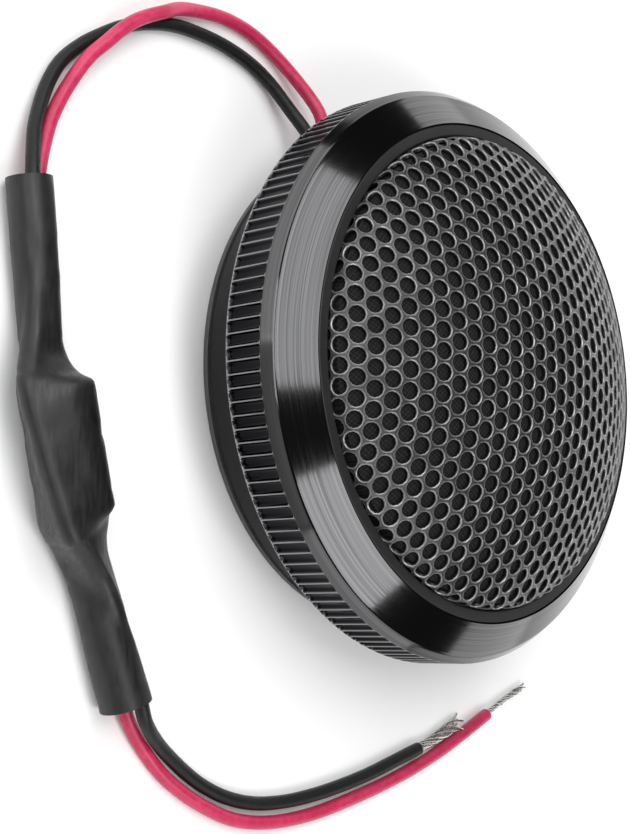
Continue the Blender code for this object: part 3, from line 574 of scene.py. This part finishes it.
screws = []
for number, angle in enumerate(BOSS_ANGLES, 1):
    x, y = polar(BOSS_CIRCLE_RADIUS, angle)
    for use, height, flip in (("cover", COVER_SCREW_Z, pi), ("frame", FRAME_SCREW_Z, 0.0)):
        copy = screw.copy()
        copy.data = screw.data.copy()
        copy.name = f"{use}_screw_{number}_pan_head"
        bpy.context.scene.collection.objects.link(copy)
        copy.data.transform(Matrix.Translation((x * MM, y * MM, height * MM))
                            @ Matrix.Rotation(radians(angle * 2.3), 4, "Z")
                            @ Matrix.Rotation(flip, 4, "X"))
        screws.append((copy, f"{use}_screw_{number}"))
bpy.data.objects.remove(screw, do_unlink=True)
print("screws:", len(screws))

# %% [markdown]
# ## Perforated grille
#
# The grille is a steel sheet punched with a honeycomb of round holes, pressed into a shallow dome
# and turned down sharply at its edge, under the lip. The punch leaves a rolled rim on every hole.
# One honeycomb cell is modelled flat: a hexagon whose inside is extruded to a rounded hole, with
# both faces of the sheet. Array modifiers repeat and weld it, and the flat sheet is then pressed
# by wrapping each point along the dome's own arc, so holes keep their size and only those at the
# turned edge are bent. An attribute named rim says how pale and metallic each ring of a hole is
# painted, partly as wear and partly as a painted highlight, and the finish reads it.

# %% One honeycomb cell
HOLE_PITCH = 2.1
HOLE_RADIUS = 0.86
CELL_POINTS = 12
SHEET_THICKNESS = 0.42
LAND_DISH = 0.09
apothem = HOLE_PITCH / 2


def hexagon_reach(degrees):
    """Distance from a cell's middle to its six-sided edge, with corners along X."""
    return apothem / cos(radians(degrees % 60 - 30))


bpy.ops.object.select_all(action="DESELECT")
bpy.ops.mesh.primitive_circle_add(vertices=CELL_POINTS, radius=apothem * MM, location=(0, 0, 0))
cell = bpy.context.object
for index, vertex in enumerate(cell.data.vertices):
    degrees = 360 * index / CELL_POINTS
    dished = LAND_DISH * (hexagon_reach(degrees) / apothem - 1) * 4 + 0.01
    vertex.co = (*(Vector(polar(hexagon_reach(degrees), degrees)) * MM), -dished * MM)
# Each ring after the first hexagon: its radius, or None for a hexagon, its drop, and its wear,
# which also serves as a painted highlight on the rim
RINGS = ((HOLE_RADIUS + 0.13, 0.0, 0.25), (HOLE_RADIUS + 0.045, 0.045, 1.0),
         (HOLE_RADIUS, 0.17, 0.0), (HOLE_RADIUS, SHEET_THICKNESS, 0.0),
         (None, SHEET_THICKNESS, 0.0))
rim_wear_and_highlight = []
for reach, drop, wear_and_highlight in RINGS:
    bpy.ops.object.mode_set(mode="EDIT")
    if drop == 0.0:
        bpy.ops.mesh.select_all(action="SELECT")
    bpy.ops.mesh.extrude_edges_move(TRANSFORM_OT_translate={"value": (0, 0, 0)})
    bpy.ops.object.mode_set(mode="OBJECT")
    for vertex in (v for v in cell.data.vertices if v.select):
        degrees = round(atan2(vertex.co.y, vertex.co.x) / radians(30)) * 30.0
        radius = hexagon_reach(degrees % 360) if reach is None else reach
        vertex.co = (*(Vector(polar(radius, degrees)) * MM), -drop * MM)
        rim_wear_and_highlight.append((vertex.index, wear_and_highlight))
rim_layer = cell.data.attributes.new("rim", "FLOAT", "POINT")
for index, amount in rim_wear_and_highlight:
    rim_layer.data[index].value = amount
print("cell faces:", len(cell.data.polygons))

# %% Repeat the cell into a flat sheet
ROWS, COLUMNS = 29, 17
across = HOLE_PITCH * sqrt(3) / 2
for count, offset in ((2, (across, HOLE_PITCH / 2)), (COLUMNS, (2 * across, 0)),
                      (ROWS, (0, HOLE_PITCH))):
    array = cell.modifiers.new("repeat", "ARRAY")
    array.count = count
    array.use_relative_offset = False
    array.use_constant_offset = True
    array.constant_offset_displace = (offset[0] * MM, offset[1] * MM, 0)
    array.use_merge_vertices = False
    bpy.ops.object.modifier_apply(modifier=array.name)
cell.data.transform(Matrix.Translation((
    -2 * across * (COLUMNS // 2) * MM, -HOLE_PITCH * (ROWS // 2) * MM, 0)))
bpy.ops.object.mode_set(mode="EDIT")
bpy.ops.mesh.select_all(action="SELECT")
bpy.ops.mesh.remove_doubles(threshold=0.002 * MM)
bpy.ops.object.mode_set(mode="OBJECT")
print("flat sheet faces:", len(cell.data.polygons))

# %% Trim the sheet round and close its edge
SHEET_REACH = 28.05


def nearest_cell(x, y):
    """Distance from the sheet's middle to the middle of the hole cell that holds a point."""
    best = None
    for column in (round(x / across) + near for near in (-1, 0, 1)):
        shift = HOLE_PITCH / 2 if column % 2 else 0.0
        row = round((y - shift) / HOLE_PITCH)
        spot = (column * across, row * HOLE_PITCH + shift)
        away = hypot(x - spot[0], y - spot[1])
        best = min(best or (away, spot), (away, spot))
    return hypot(*best[1])


bpy.context.tool_settings.mesh_select_mode = (False, False, True)
bpy.ops.object.mode_set(mode="EDIT")
bpy.ops.mesh.select_all(action="DESELECT")
bpy.ops.object.mode_set(mode="OBJECT")
for polygon in cell.data.polygons:
    middle = polygon.center / MM
    polygon.select = nearest_cell(middle.x, middle.y) > SHEET_REACH
bpy.ops.object.mode_set(mode="EDIT")
bpy.ops.mesh.delete(type="FACE")
bpy.context.tool_settings.mesh_select_mode = (True, False, False)
bpy.ops.mesh.select_all(action="DESELECT")
bpy.ops.mesh.select_non_manifold(extend=False)
bpy.ops.mesh.bridge_edge_loops()
bpy.ops.mesh.select_all(action="SELECT")
bpy.ops.mesh.normals_make_consistent(inside=False)
bpy.ops.object.mode_set(mode="OBJECT")
print("trimmed sheet faces:", len(cell.data.polygons))

# %% Press the sheet into the dome
SPHERE_RADIUS = 44.9
APEX_Z = 24.0
RIM_RADIUS = 24.5
BEND_RADIUS = 0.9
centre_z = APEX_Z - SPHERE_RADIUS
bend_turn = (RIM_RADIUS - BEND_RADIUS) / (SPHERE_RADIUS - BEND_RADIUS)
bend_start = atan2(bend_turn, sqrt(1 - bend_turn ** 2))


def pressed(point):
    """Where a point of the flat sheet goes: along the dome, round the bend, and down the wall."""
    travel, depth = hypot(point.x, point.y), -point.z
    angle = travel / SPHERE_RADIUS
    if angle <= bend_start:
        radius = (SPHERE_RADIUS - depth) * sin(angle)
        height = centre_z + (SPHERE_RADIUS - depth) * cos(angle)
    else:
        beyond = travel - SPHERE_RADIUS * bend_start
        lean = min(bend_start + beyond / BEND_RADIUS, pi / 2)
        straight = max(beyond - BEND_RADIUS * (pi / 2 - bend_start), 0.0)
        middle = SPHERE_RADIUS - BEND_RADIUS
        radius = middle * sin(bend_start) + (BEND_RADIUS - depth) * sin(lean)
        height = (centre_z + middle * cos(bend_start) + (BEND_RADIUS - depth) * cos(lean)
                  - straight)
    share = radius / travel if travel > 1e-6 else 1.0
    return Vector((point.x * share, point.y * share, height))


for vertex in cell.data.vertices:
    vertex.co = pressed(vertex.co / MM) * MM
grille = cell
grille.name = grille.data.name = "grille_perforated_dome"
pick(grille)
bpy.ops.object.shade_smooth_by_angle(angle=radians(60))
print("grille faces:", len(grille.data.polygons))

# %% [markdown]
# ## Acoustic cloth
#
# A thin black polyester weave is stretched behind the mesh and keeps dust out. It is a real sheet
# of cloth, cut as a disc and clamped round its edge. It is spun from the dome's arc a little
# below the steel, and a Solidify modifier gives it thickness.

# %% Make the cloth
CLOTH_GAP, CLOTH_THICKNESS = 0.16, 0.14
CLOTH_SPHERE_RADIUS = SPHERE_RADIUS - SHEET_THICKNESS - CLOTH_GAP
CLOTH_WALL_RADIUS = 23.9
ARC_STEPS = 24
cloth_angle = atan2(CLOTH_WALL_RADIUS, sqrt(CLOTH_SPHERE_RADIUS ** 2 - CLOTH_WALL_RADIUS ** 2))
cloth_arc = [(CLOTH_SPHERE_RADIUS * sin(cloth_angle * step / ARC_STEPS),
              centre_z + CLOTH_SPHERE_RADIUS * cos(cloth_angle * step / ARC_STEPS))
             for step in range(ARC_STEPS + 1)]
cloth_outline = [*cloth_arc, (CLOTH_WALL_RADIUS, 13.4), (24.1, 13.2), (26.1, 13.2)]
cloth = lathe("acoustic_cloth_disc", cloth_outline, steps=96, closed=False)
cloth_thickness = cloth.modifiers.new("thickness", "SOLIDIFY")
cloth_thickness.thickness = CLOTH_THICKNESS * MM
cloth_thickness.offset = -1.0
bpy.ops.object.modifier_apply(modifier=cloth_thickness.name)

# %% [markdown]
# ## Tools for finishes
#
# Each finish is a Principled shader with procedural patterns. Colours are written as the sRGB
# hex values that a picker shows and turned linear once. One small function adds a node, sets it
# and links its inputs, and another links results to the shader. Patterns read Object
# coordinates, so they stay on the piece, and every pattern is sized by a real length.

# %% Colours and nodes
def hex_colour(code):
    """An sRGB hex colour as linear red, green, blue and alpha."""
    parts = [int(code[start:start + 2], 16) / 255 for start in (1, 3, 5)]
    return (*(p / 12.92 if p <= 0.04045 else ((p + 0.055) / 1.055) ** 2.4 for p in parts), 1.0)


def node(tree, kind, inputs=None, out=0, **settings):
    """Add a node, set it, fill its inputs with values or links, and return one output."""
    made = tree.nodes.new(kind)
    for key, value in settings.items():
        setattr(made, key, value)
    for key, value in (inputs or {}).items():
        if isinstance(value, bpy.types.NodeSocket):
            tree.links.new(value, made.inputs[key])
        else:
            made.inputs[key].default_value = value
    return made.outputs[out]


def connect(shader, **looks):
    """Link outputs to the shader's inputs, named with _ for a space."""
    for key, value in looks.items():
        shader.id_data.links.new(value, shader.inputs[key.replace("_", " ")])


print("mid grey as the shader reads it:", round(hex_colour("#808080")[0], 3))


# %% A finish and its grain
def finish(name, roughness, metallic=0.0, **fixed):
    """A new Principled material, its node tree, its shader and its Object coordinates."""
    made = bpy.data.materials.new(name)
    made.use_nodes = True
    tree = made.node_tree
    shader = tree.nodes["Principled BSDF"]
    shader.inputs["Roughness"].default_value = roughness
    shader.inputs["Metallic"].default_value = metallic
    for key, value in fixed.items():
        shader.inputs[key.replace("_", " ")].default_value = value
    print("finish:", name)
    return made, tree, shader, node(tree, "ShaderNodeTexCoord", out="Object")


def per_mm(size):
    """Texture scale for a pattern whose features are that many millimetres across."""
    return 1.0 / (size * MM)


def grained(name, dark, light, grain, roughness, depth, metallic=0.0, patch=6.0, **fixed):
    """A finish with fine grain in its relief and gloss, and slow patches in its colour."""
    made, tree, shader, place = finish(name, 0.5, metallic, **fixed)
    fine = node(tree, "ShaderNodeTexNoise", {"Vector": place, "Scale": per_mm(grain),
                                             "Detail": 3.0, "Roughness": 0.6})
    slow = node(tree, "ShaderNodeTexNoise", {"Vector": place, "Scale": per_mm(patch),
                                             "Detail": 2.0})
    blend = node(tree, "ShaderNodeMath", {0: fine, 1: slow}, operation="MULTIPLY")
    tone = node(tree, "ShaderNodeMapRange", {"Value": blend, 1: 0.12, 2: 0.4})
    colour = node(tree, "ShaderNodeMix", {0: tone, 6: hex_colour(dark), 7: hex_colour(light)},
                  data_type="RGBA", out=2)
    gloss = node(tree, "ShaderNodeMapRange", {"Value": fine, 1: 0.3, 2: 0.7, 3: roughness[0],
                                              4: roughness[1]})
    relief = node(tree, "ShaderNodeBump", {"Height": fine, "Distance": depth * MM,
                                           "Strength": 1.0})
    connect(shader, Base_Color=colour, Roughness=gloss, Normal=relief)
    return made


# %% [markdown]
# ## Turned and anodised aluminium
#
# The bezel is aluminium, faced on a lathe and then dyed black by anodising. The tool leaves
# fine rings, so the bevel shows hundreds of thin lines that run round it, some brighter and
# some darker, and a lamp is drawn out across them. The lines are noise read along the radius,
# stretched a long way round, so each one fades in and out as real tool marks do. Real tool
# marks are about 0.05 mm apart, and are drawn at 0.12 mm so that they show.

# %% Bezel finish: the turned lines
anodised, tree, shader, place = finish("black_anodised_turned_aluminium", 0.26, 1.0)
flat = node(tree, "ShaderNodeVectorMath", {0: place, 1: (1, 1, 0)},
            operation="MULTIPLY", out="Vector")
radius = node(tree, "ShaderNodeVectorMath", {0: flat}, operation="LENGTH", out="Value")
around = node(tree, "ShaderNodeVectorMath", {0: flat}, operation="NORMALIZE", out="Vector")
around_xy = [node(tree, "ShaderNodeSeparateXYZ", {0: around}, out=axis) for axis in (0, 1)]
line_noise = []
for size, turns in ((0.12, 0.6), (0.42, 0.9)):
    x, y, z = (node(tree, "ShaderNodeMath", {0: value, 1: scale}, operation="MULTIPLY")
               for value, scale in ((around_xy[0], turns), (around_xy[1], turns),
                                    (radius, per_mm(size))))
    spot = node(tree, "ShaderNodeCombineXYZ", {0: x, 1: y, 2: z})
    line_noise.append(node(tree, "ShaderNodeTexNoise", {
        "Vector": spot, "Scale": 1.0, "Detail": 1.5, "Roughness": 0.7}))
lines = node(tree, "ShaderNodeMix", {0: 0.13, 2: line_noise[0], 3: line_noise[1]},
             data_type="FLOAT")
tone = node(tree, "ShaderNodeMapRange", {"Value": lines, 1: 0.32, 2: 0.68})
turned_colour = node(tree, "ShaderNodeMix", {0: tone, 6: hex_colour("#3E3E3F"),
                                             7: hex_colour("#565657")},
                     data_type="RGBA", out=2)
gloss = node(tree, "ShaderNodeMapRange", {"Value": lines, 1: 0.3, 2: 0.7, 3: 0.16, 4: 0.07})
relief = node(tree, "ShaderNodeBump", {"Height": lines, "Distance": 0.003 * MM,
                                       "Strength": 1.0})
connect(shader, Roughness=gloss, Normal=relief)

# %% [markdown]
# ## Flutes and ridges
#
# The flutes in the wall are painted nearly black, as painted shade in the hollows. The thin
# ridges between them are painted pale, partly as wear where the dye has been rubbed away and
# partly as a painted highlight. Distance from the axis tells a hollow from a ridge, and height
# keeps both to the wall, so the bevel above has only its turned lines.

# %% Bezel finish: painted shade in the flutes, worn and highlighted ridges
WALL_EDGE = (12.3, 12.2)
HOLLOW_RADII = (BEZEL_RADIUS - 0.04, BEZEL_RADIUS - 0.16)
RIDGE_RADII = (BEZEL_RADIUS - 0.035, BEZEL_RADIUS - 0.005)
level = node(tree, "ShaderNodeSeparateXYZ", {0: place}, out=2)
on_wall, deep, high = (
    node(tree, "ShaderNodeMapRange", {"Value": value, 1: start * MM, 2: stop * MM})
    for value, (start, stop) in ((level, WALL_EDGE), (radius, HOLLOW_RADII),
                                 (radius, RIDGE_RADII)))
hollow = node(tree, "ShaderNodeMath", {0: deep, 1: on_wall}, operation="MULTIPLY")
# Painted shade: the flutes' colour is taken nearly black.
shaded_flutes = node(tree, "ShaderNodeMix", {0: hollow, 6: turned_colour, 7: hex_colour("#1A1A1C")},
            data_type="RGBA", out=2)
ridge = node(tree, "ShaderNodeMath", {0: high, 1: on_wall}, operation="MULTIPLY")
# The ridges are painted pale: rubbed dye, and a painted highlight.
colour = node(tree, "ShaderNodeMix", {0: ridge, 6: shaded_flutes, 7: hex_colour("#848486")},
              data_type="RGBA", out=2)
connect(shader, Base_Color=colour)
print("nodes in the bezel's finish:", len(tree.nodes))

# %% [markdown]
# ## Coated steel mesh
#
# The grille is punched steel under a satin black coating, which has the fine ripple of a sprayed
# film. The coating draws away from sharp rims, so bare steel shows round the holes, and the same
# pale rims serve as painted highlights. The rim attribute that was stored on each hole, broken up
# by slow noise, says where: there the colour turns to steel grey and the shader turns metallic.

# %% Grille finish
coated_steel = grained("sprayed_black_coat_on_steel", "#0C0C0D", "#1A1A1C", 0.35, (0.26, 0.4),
                       0.008, patch=4.0, Specular_IOR_Level=0.4)
tree = coated_steel.node_tree
shader = tree.nodes["Principled BSDF"]
coat_colour = shader.inputs["Base Color"].links[0].from_socket
rim = node(tree, "ShaderNodeAttribute", attribute_name="rim", out="Fac")
uneven = node(tree, "ShaderNodeTexNoise", {
    "Vector": node(tree, "ShaderNodeTexCoord", out="Object"), "Scale": per_mm(1.4),
    "Detail": 2.0})
patchy = node(tree, "ShaderNodeMapRange", {"Value": uneven, 1: 0.35, 2: 0.65, 3: 0.4, 4: 1.0})
# Bare steel round the holes: partly wear, partly a painted highlight on the rims.
worn_and_highlighted_rim = node(tree, "ShaderNodeMath", {0: rim, 1: patchy}, operation="MULTIPLY")
colour = node(tree, "ShaderNodeMix", {0: worn_and_highlighted_rim, 6: coat_colour, 7: hex_colour("#B2B2B4")},
              data_type="RGBA", out=2)
connect(shader, Base_Color=colour, Metallic=worn_and_highlighted_rim)

# %% [markdown]
# ## Woven acoustic cloth
#
# This is a plain weave of black polyester yarn. Each yarn goes over one and under the next, so
# the height of the cloth is one wave across X where the warp is on top and one across Y where
# the weft is. The sign of the product of two sines tells which yarn is on top. The real yarns
# are 0.2 mm apart, and they are drawn 0.36 mm apart so that they show through the holes.

# %% Cloth finish
YARN_SPACING = 0.36
woven, tree, shader, place = finish("woven_black_polyester", 0.85, Specular_IOR_Level=0.2)
slanted = node(tree, "ShaderNodeMapping", {"Vector": place, "Rotation": (0, 0, radians(38))})
waves, crests = [], []
for axis in (0, 1):
    along = node(tree, "ShaderNodeSeparateXYZ", {0: slanted}, out=axis)
    turn = node(tree, "ShaderNodeMath", {0: along, 1: pi * per_mm(YARN_SPACING)},
                operation="MULTIPLY")
    wave = node(tree, "ShaderNodeMath", {0: turn}, operation="SINE")
    waves.append(wave)
    crests.append(node(tree, "ShaderNodeMath", {0: wave}, operation="ABSOLUTE"))
over = node(tree, "ShaderNodeMath", {0: waves[0], 1: waves[1]}, operation="MULTIPLY")
warp_up = node(tree, "ShaderNodeMath", {0: over, 1: 0.0}, operation="GREATER_THAN")
height = node(tree, "ShaderNodeMix", {0: warp_up, 2: crests[0], 3: crests[1]},
              data_type="FLOAT")
fibre = node(tree, "ShaderNodeTexNoise", {"Vector": place, "Scale": per_mm(0.12),
                                          "Detail": 2.0})
fuzzy = node(tree, "ShaderNodeMath", {0: height, 1: fibre}, operation="MULTIPLY")
# Painted shade: the colour follows the weave's height, so the hollows between the yarns are
# darker and the crests lighter.
colour = node(tree, "ShaderNodeMix", {0: fuzzy, 6: hex_colour("#010101"),
                                      7: hex_colour("#333334")}, data_type="RGBA", out=2)
relief = node(tree, "ShaderNodeBump", {"Height": fuzzy, "Distance": 0.08 * MM,
                                       "Strength": 1.0})
connect(shader, Base_Color=colour, Normal=relief)

# %% [markdown]
# ## Moulded plastics and rubber
#
# The lip, cup, cover and driver frame are injection-moulded ABS from a spark-eroded mould, which
# leaves an even matt grain. The lip is the mattest, because it must not glare beside the mesh.
# The cup's black is taken darker still as painted shade under the bezel, and the cover is painted
# mid grey as a painted reflection of the pale floor. The grommet is moulded rubber, softer in its
# grain and nearly without gloss.

# %% Plastic finishes
lip_plastic = grained("spark_eroded_matt_abs", "#101011", "#1B1B1C", 0.16, (0.5, 0.66), 0.02)
# The cup is black ABS, taken darker still as painted shade under the bezel.
black_cup_abs_painted_shade = grained("moulded_black_abs", "#070708", "#0E0E10", 0.3, (0.3, 0.42), 0.01,
                      Specular_IOR_Level=0.25)
# The cover's mid grey is a painted reflection of the pale floor round its rim.
cover_abs_painted_reflection = grained("moulded_cover_abs_painted_reflection", "#3C3C3E", "#525254", 0.22, (0.38, 0.52), 0.014)
frame_plastic = grained("glass_filled_black_abs", "#141415", "#262628", 0.4, (0.45, 0.65), 0.02)
rubber = grained("moulded_black_rubber", "#0F0F0F", "#1C1C1C", 0.5, (0.65, 0.85), 0.02)

# %% [markdown]
# ## Wire insulation
#
# The leads are insulated with soft extruded PVC. It is slightly glossy, and light goes a short
# way into the red one, which keeps its shaded side warm. Handling leaves faint dull patches,
# and the extruder leaves an almost invisible ripple.

# %% Insulation finishes
red_pvc = grained("extruded_red_pvc", "#AE1A46", "#CC3160", 0.6, (0.34, 0.5), 0.02, patch=5.0,
                  Subsurface_Weight=0.2, Subsurface_Radius=(0.6 * MM, 0.15 * MM, 0.15 * MM),
                  Subsurface_Scale=1.0)
black_pvc = grained("extruded_black_pvc", "#050606", "#0D0F0F", 0.4, (0.36, 0.55), 0.03,
                    patch=5.0, Specular_IOR_Level=0.35)

# %% [markdown]
# ## Heat-shrink film
#
# Polyolefin heat-shrink is a satin black film. Heat leaves it faintly mottled, and shrinking
# draws fine lines along it. The grain is small and the patches are a few millimetres across,
# with paler scuffs on them.

# %% Sleeve finish
shrunk_film, tree, shader, place = finish("shrunk_black_polyolefin", 0.42)
mottle = node(tree, "ShaderNodeTexNoise", {"Vector": place, "Scale": per_mm(2.6), "Detail": 4.0,
                                           "Roughness": 0.65})
along = node(tree, "ShaderNodeMapping", {"Vector": place, "Scale": (1.0, 0.12, 1.0)})
drawn = node(tree, "ShaderNodeTexNoise", {"Vector": along, "Scale": per_mm(0.35), "Detail": 2.0,
                                          "Roughness": 0.6})
tone = node(tree, "ShaderNodeMapRange", {"Value": mottle, 1: 0.3, 2: 0.72})
colour = node(tree, "ShaderNodeMix", {0: tone, 6: hex_colour("#0B0B0C"),
                                      7: hex_colour("#1D1D1F")}, data_type="RGBA", out=2)
gloss = node(tree, "ShaderNodeMapRange", {"Value": drawn, 1: 0.3, 2: 0.7, 3: 0.36,
                                          4: 0.56})
height = node(tree, "ShaderNodeMix", {0: 0.4, 2: mottle, 3: drawn},
              data_type="FLOAT")
relief = node(tree, "ShaderNodeBump", {"Height": height, "Distance": 0.022 * MM,
                                       "Strength": 0.7})
connect(shader, Base_Color=colour, Roughness=gloss, Normal=relief)

# %% [markdown]
# ## Metals
#
# The screws, yoke and top plate are steel with a thin zinc plate, the magnet is nickel-plated,
# the solder tags are tinned brass, and the strands are tinned copper. A plated metal keeps its
# tint even where it is dull, so each one has a metallic base, a fine grain, and patches where
# the plate is duller.

# %% Metal finishes
zinc = grained("zinc_plated_steel", "#8C8F93", "#B9BCC0", 0.25, (0.26, 0.45), 0.006, 1.0, 2.0)
motor_steel = grained("zinc_plated_motor_steel", "#7E8184", "#A9ACAF", 0.5, (0.3, 0.5), 0.01,
                      1.0, 8.0)
nickel = grained("nickel_plated_neodymium", "#A7A39B", "#CFCBC2", 0.6, (0.14, 0.28), 0.006, 1.0,
                 9.0)
brass = grained("tinned_brass", "#A8A08A", "#CFC7B0", 0.3, (0.25, 0.42), 0.006, 1.0, 1.5)
tinned = grained("tinned_copper_strands", "#D2D1CE", "#F6F5F3", 0.3, (0.16, 0.3), 0.008, 1.0,
                 1.2)

# %% [markdown]
# ## Voice coil
#
# The coil is enamelled copper wire in a single layer. A sine along Z with one wave for each turn
# draws the wires in the relief, and in the colour as painted shade in the grooves between turns,
# and a clear coat is the enamel.

# %% Coil finish
WIRE_PITCH = 0.11
coil_wire, tree, shader, place = finish("enamelled_copper_winding", 0.28, 1.0, Coat_Weight=0.6,
                                        Coat_Roughness=0.08)
level = node(tree, "ShaderNodeSeparateXYZ", {0: place}, out=2)
turn = node(tree, "ShaderNodeMath", {0: level, 1: 2 * pi * per_mm(WIRE_PITCH)},
            operation="MULTIPLY")
wave = node(tree, "ShaderNodeMath", {0: turn}, operation="SINE")
wave = node(tree, "ShaderNodeMapRange", {"Value": wave, 1: -1.0, 2: 1.0})
# Painted shade: the copper is darker in the grooves between turns.
colour = node(tree, "ShaderNodeMix", {0: wave, 6: hex_colour("#6B2E12"),
                                      7: hex_colour("#C4703A")}, data_type="RGBA", out=2)
relief = node(tree, "ShaderNodeBump", {"Height": wave, "Distance": 0.03 * MM,
                                       "Strength": 1.0})
connect(shader, Base_Color=colour, Normal=relief)

# %% [markdown]
# ## Soft and filmy pieces inside
#
# The dome and its surround are silk, coated with a tacky damping varnish that nearly fills the
# weave. The pad behind the dome is pressed wool felt, the former is amber polyimide film, and
# the capacitor has a shrunk blue PVC jacket over its can.

# %% Inside finishes
coated_silk, tree, shader, place = finish("varnished_black_silk", 0.45, Sheen_Weight=0.15)
weave = node(tree, "ShaderNodeTexNoise", {"Vector": place, "Scale": per_mm(0.18), "Detail": 3.0,
                                          "Roughness": 0.7})
slow = node(tree, "ShaderNodeTexNoise", {"Vector": place, "Scale": per_mm(3.0),
                                         "Detail": 2.0})
colour = node(tree, "ShaderNodeMix", {0: weave, 6: hex_colour("#101012"),
                                      7: hex_colour("#232326")}, data_type="RGBA", out=2)
gloss = node(tree, "ShaderNodeMapRange", {"Value": slow, 1: 0.3, 2: 0.7, 3: 0.3,
                                          4: 0.6})
relief = node(tree, "ShaderNodeBump", {"Height": weave, "Distance": 0.03 * MM,
                                       "Strength": 1.0})
connect(shader, Base_Color=colour, Roughness=gloss, Normal=relief)

felt = grained("pressed_wool_felt", "#5E5B54", "#8E8A80", 0.22, (0.9, 1.0), 0.12, patch=1.5,
               Sheen_Weight=0.4)
polyimide = grained("amber_polyimide_film", "#8A4A10", "#B96E1E", 0.8, (0.2, 0.35), 0.006,
                    patch=3.0, Coat_Weight=0.3)
jacket = grained("shrunk_blue_pvc_jacket", "#16264F", "#24407A", 0.6, (0.25, 0.4), 0.01,
                 patch=3.0, Coat_Weight=0.2)

# %% [markdown]
# ## Put the pieces together
#
# Every new piece rides on the body that carries it, hides the CAD node that it details, and wears
# its finish. The CAD nodes whose shape is already right only get their finish.

# %% Bodies, slots and finishes of the new pieces
new_pieces = [
    (bezel, "bezel_ring", "bezel_aluminium", anodised),
    (lip, "grille_frame", "lip_abs", lip_plastic),
    (grille, "grille_mesh", "grille_steel", coated_steel),
    (cloth, "grille_cloth", "acoustic_cloth", woven),
    (cup, "rear_cup", "cup_abs", black_cup_abs_painted_shade),
    (cover, "rear_cover", "cup_abs", cover_abs_painted_reflection),
    (sleeve, "heat_shrink_sleeve", "heat_shrink", shrunk_film),
    (red_lead, "red_lead", "red_pvc", red_pvc),
    (red_tail, "red_tail", "red_pvc", red_pvc),
    (black_lead, "black_lead", "black_pvc", black_pvc),
    (black_wires, "black_strands", "tinned_copper", tinned),
    (red_wires, "red_strands", "tinned_copper", tinned),
    *((screw, stands_for, "screw_steel", zinc) for screw, stands_for in screws),
]
for piece, stands_for, slot_name, look in new_pieces:
    piece.data.materials.clear()
    piece.data.materials.append(look)
    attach(piece, "tweeter")
    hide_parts(stands_for)
print("new pieces:", len(new_pieces))

# %% Finishes of the CAD nodes that show
node_looks = {
    "grille_clamp_ring": frame_plastic, "driver_frame": frame_plastic,
    "surround_ring": frame_plastic, "cable_grommet": rubber, "yoke_cup": motor_steel,
    "top_plate": motor_steel, "magnet": nickel, "damping_felt": felt,
    "voice_coil_former": polyimide, "voice_coil": coil_wire, "dome_diaphragm": coated_silk,
    "surround": coated_silk, "red_tinsel_lead": tinned, "black_tinsel_lead": tinned,
    "red_terminal_tab": brass, "black_terminal_tab": brass, "red_inner_lead": red_pvc,
    "black_inner_lead": black_pvc, "capacitor": jacket, "upper_capacitor_wire": tinned,
    "lower_capacitor_wire": tinned,
}
for name, look in node_looks.items():
    for material_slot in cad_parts[name].material_slots:
        material_slot.material = look
print("CAD nodes with a finish:", len(node_looks))

# %% [markdown]
# ## Floor, lights and surroundings
#
# Black metal only looks like metal when it reflects something, so the lights are large soft
# boxes and the space between them is dark. Each box is placed by where the tweeter sees it: its
# angle round the tweeter and its angle above the floor, at its two ends. The bevel mirrors the
# upper boxes as its bright sectors, and the gaps between them stay dark. The low cards light
# the flutes and the chamfer, and the long front one gives the even grey on the far side. The
# camera sees a white world, but everything else sees one that is nearly black.

# %% Floor
FLOOR_SIZE, FLOOR_Z = 0.6, -0.00002
bpy.ops.object.select_all(action="DESELECT")
bpy.ops.mesh.primitive_plane_add(size=FLOOR_SIZE, location=(0, 0, FLOOR_Z))
floor = bpy.context.object
floor.name = "floor"
floor_look, tree, shader, place = finish("matt_white_board", 0.8)
shader.inputs["Base Color"].default_value = hex_colour("#F6F6F6")
floor.data.materials.append(floor_look)


# %% Soft boxes
def heading(azimuth, elevation):
    """The direction from the tweeter at that angle round it and above the floor."""
    return Vector((*polar(cos(radians(elevation)), azimuth), sin(radians(elevation))))


def softbox(name, start, end, height, radiance, distance=0.6):
    """A rectangular light that is seen from the tweeter between two directions."""
    first, last = heading(*start), heading(*end)
    middle = (first + last).normalized()
    along = (last - first).normalized()
    data = bpy.data.lights.new(name, "AREA")
    data.shape = "RECTANGLE"
    data.size = 2 * distance * tan(first.angle(last) / 2)
    data.size_y = 2 * distance * tan(radians(height / 2))
    data.energy = radiance * pi * data.size * data.size_y
    light = bpy.data.objects.new(name, data)
    bpy.context.scene.collection.objects.link(light)
    light.matrix_world = Matrix((along, middle.cross(along), middle)).transposed().to_4x4()
    light.location = middle * distance
    light.visible_camera = False
    print(name, "gives", round(data.energy, 3), "W")


softbox("key_box", (87, 37), (-172, 63), 34, 3.6)
softbox("fill_box", (-130, 60), (-71, 38), 27, 4.4)
softbox("near_card", (145, 36), (-168, 36), 16, 3.4)
softbox("front_card", (-48, 4), (60, 5), 34, 1.8)
softbox("left_card", (94, 9), (170, 20), 24, 2.0)
softbox("right_card", (-122, 17), (-62, 3), 18, 1.8)
softbox("low_card", (168, 22), (-124, 17), 14, 0.7)

# %% Surroundings
WORLD_LIGHT, WORLD_SEEN = 0.05, 1.0
world = bpy.data.worlds.new("studio")
world.use_nodes = True
bpy.context.scene.world = world
tree = world.node_tree
background = tree.nodes["Background"]
seen = node(tree, "ShaderNodeLightPath", out="Is Camera Ray")
level = node(tree, "ShaderNodeMapRange", {"Value": seen, 3: WORLD_LIGHT, 4: WORLD_SEEN})
background.inputs["Color"].default_value = (1, 1, 1, 1)
tree.links.new(level, background.inputs["Strength"])
bpy.context.scene.view_settings.view_transform = "Standard"
print("the world gives", WORLD_LIGHT, "and the camera sees", WORLD_SEEN)
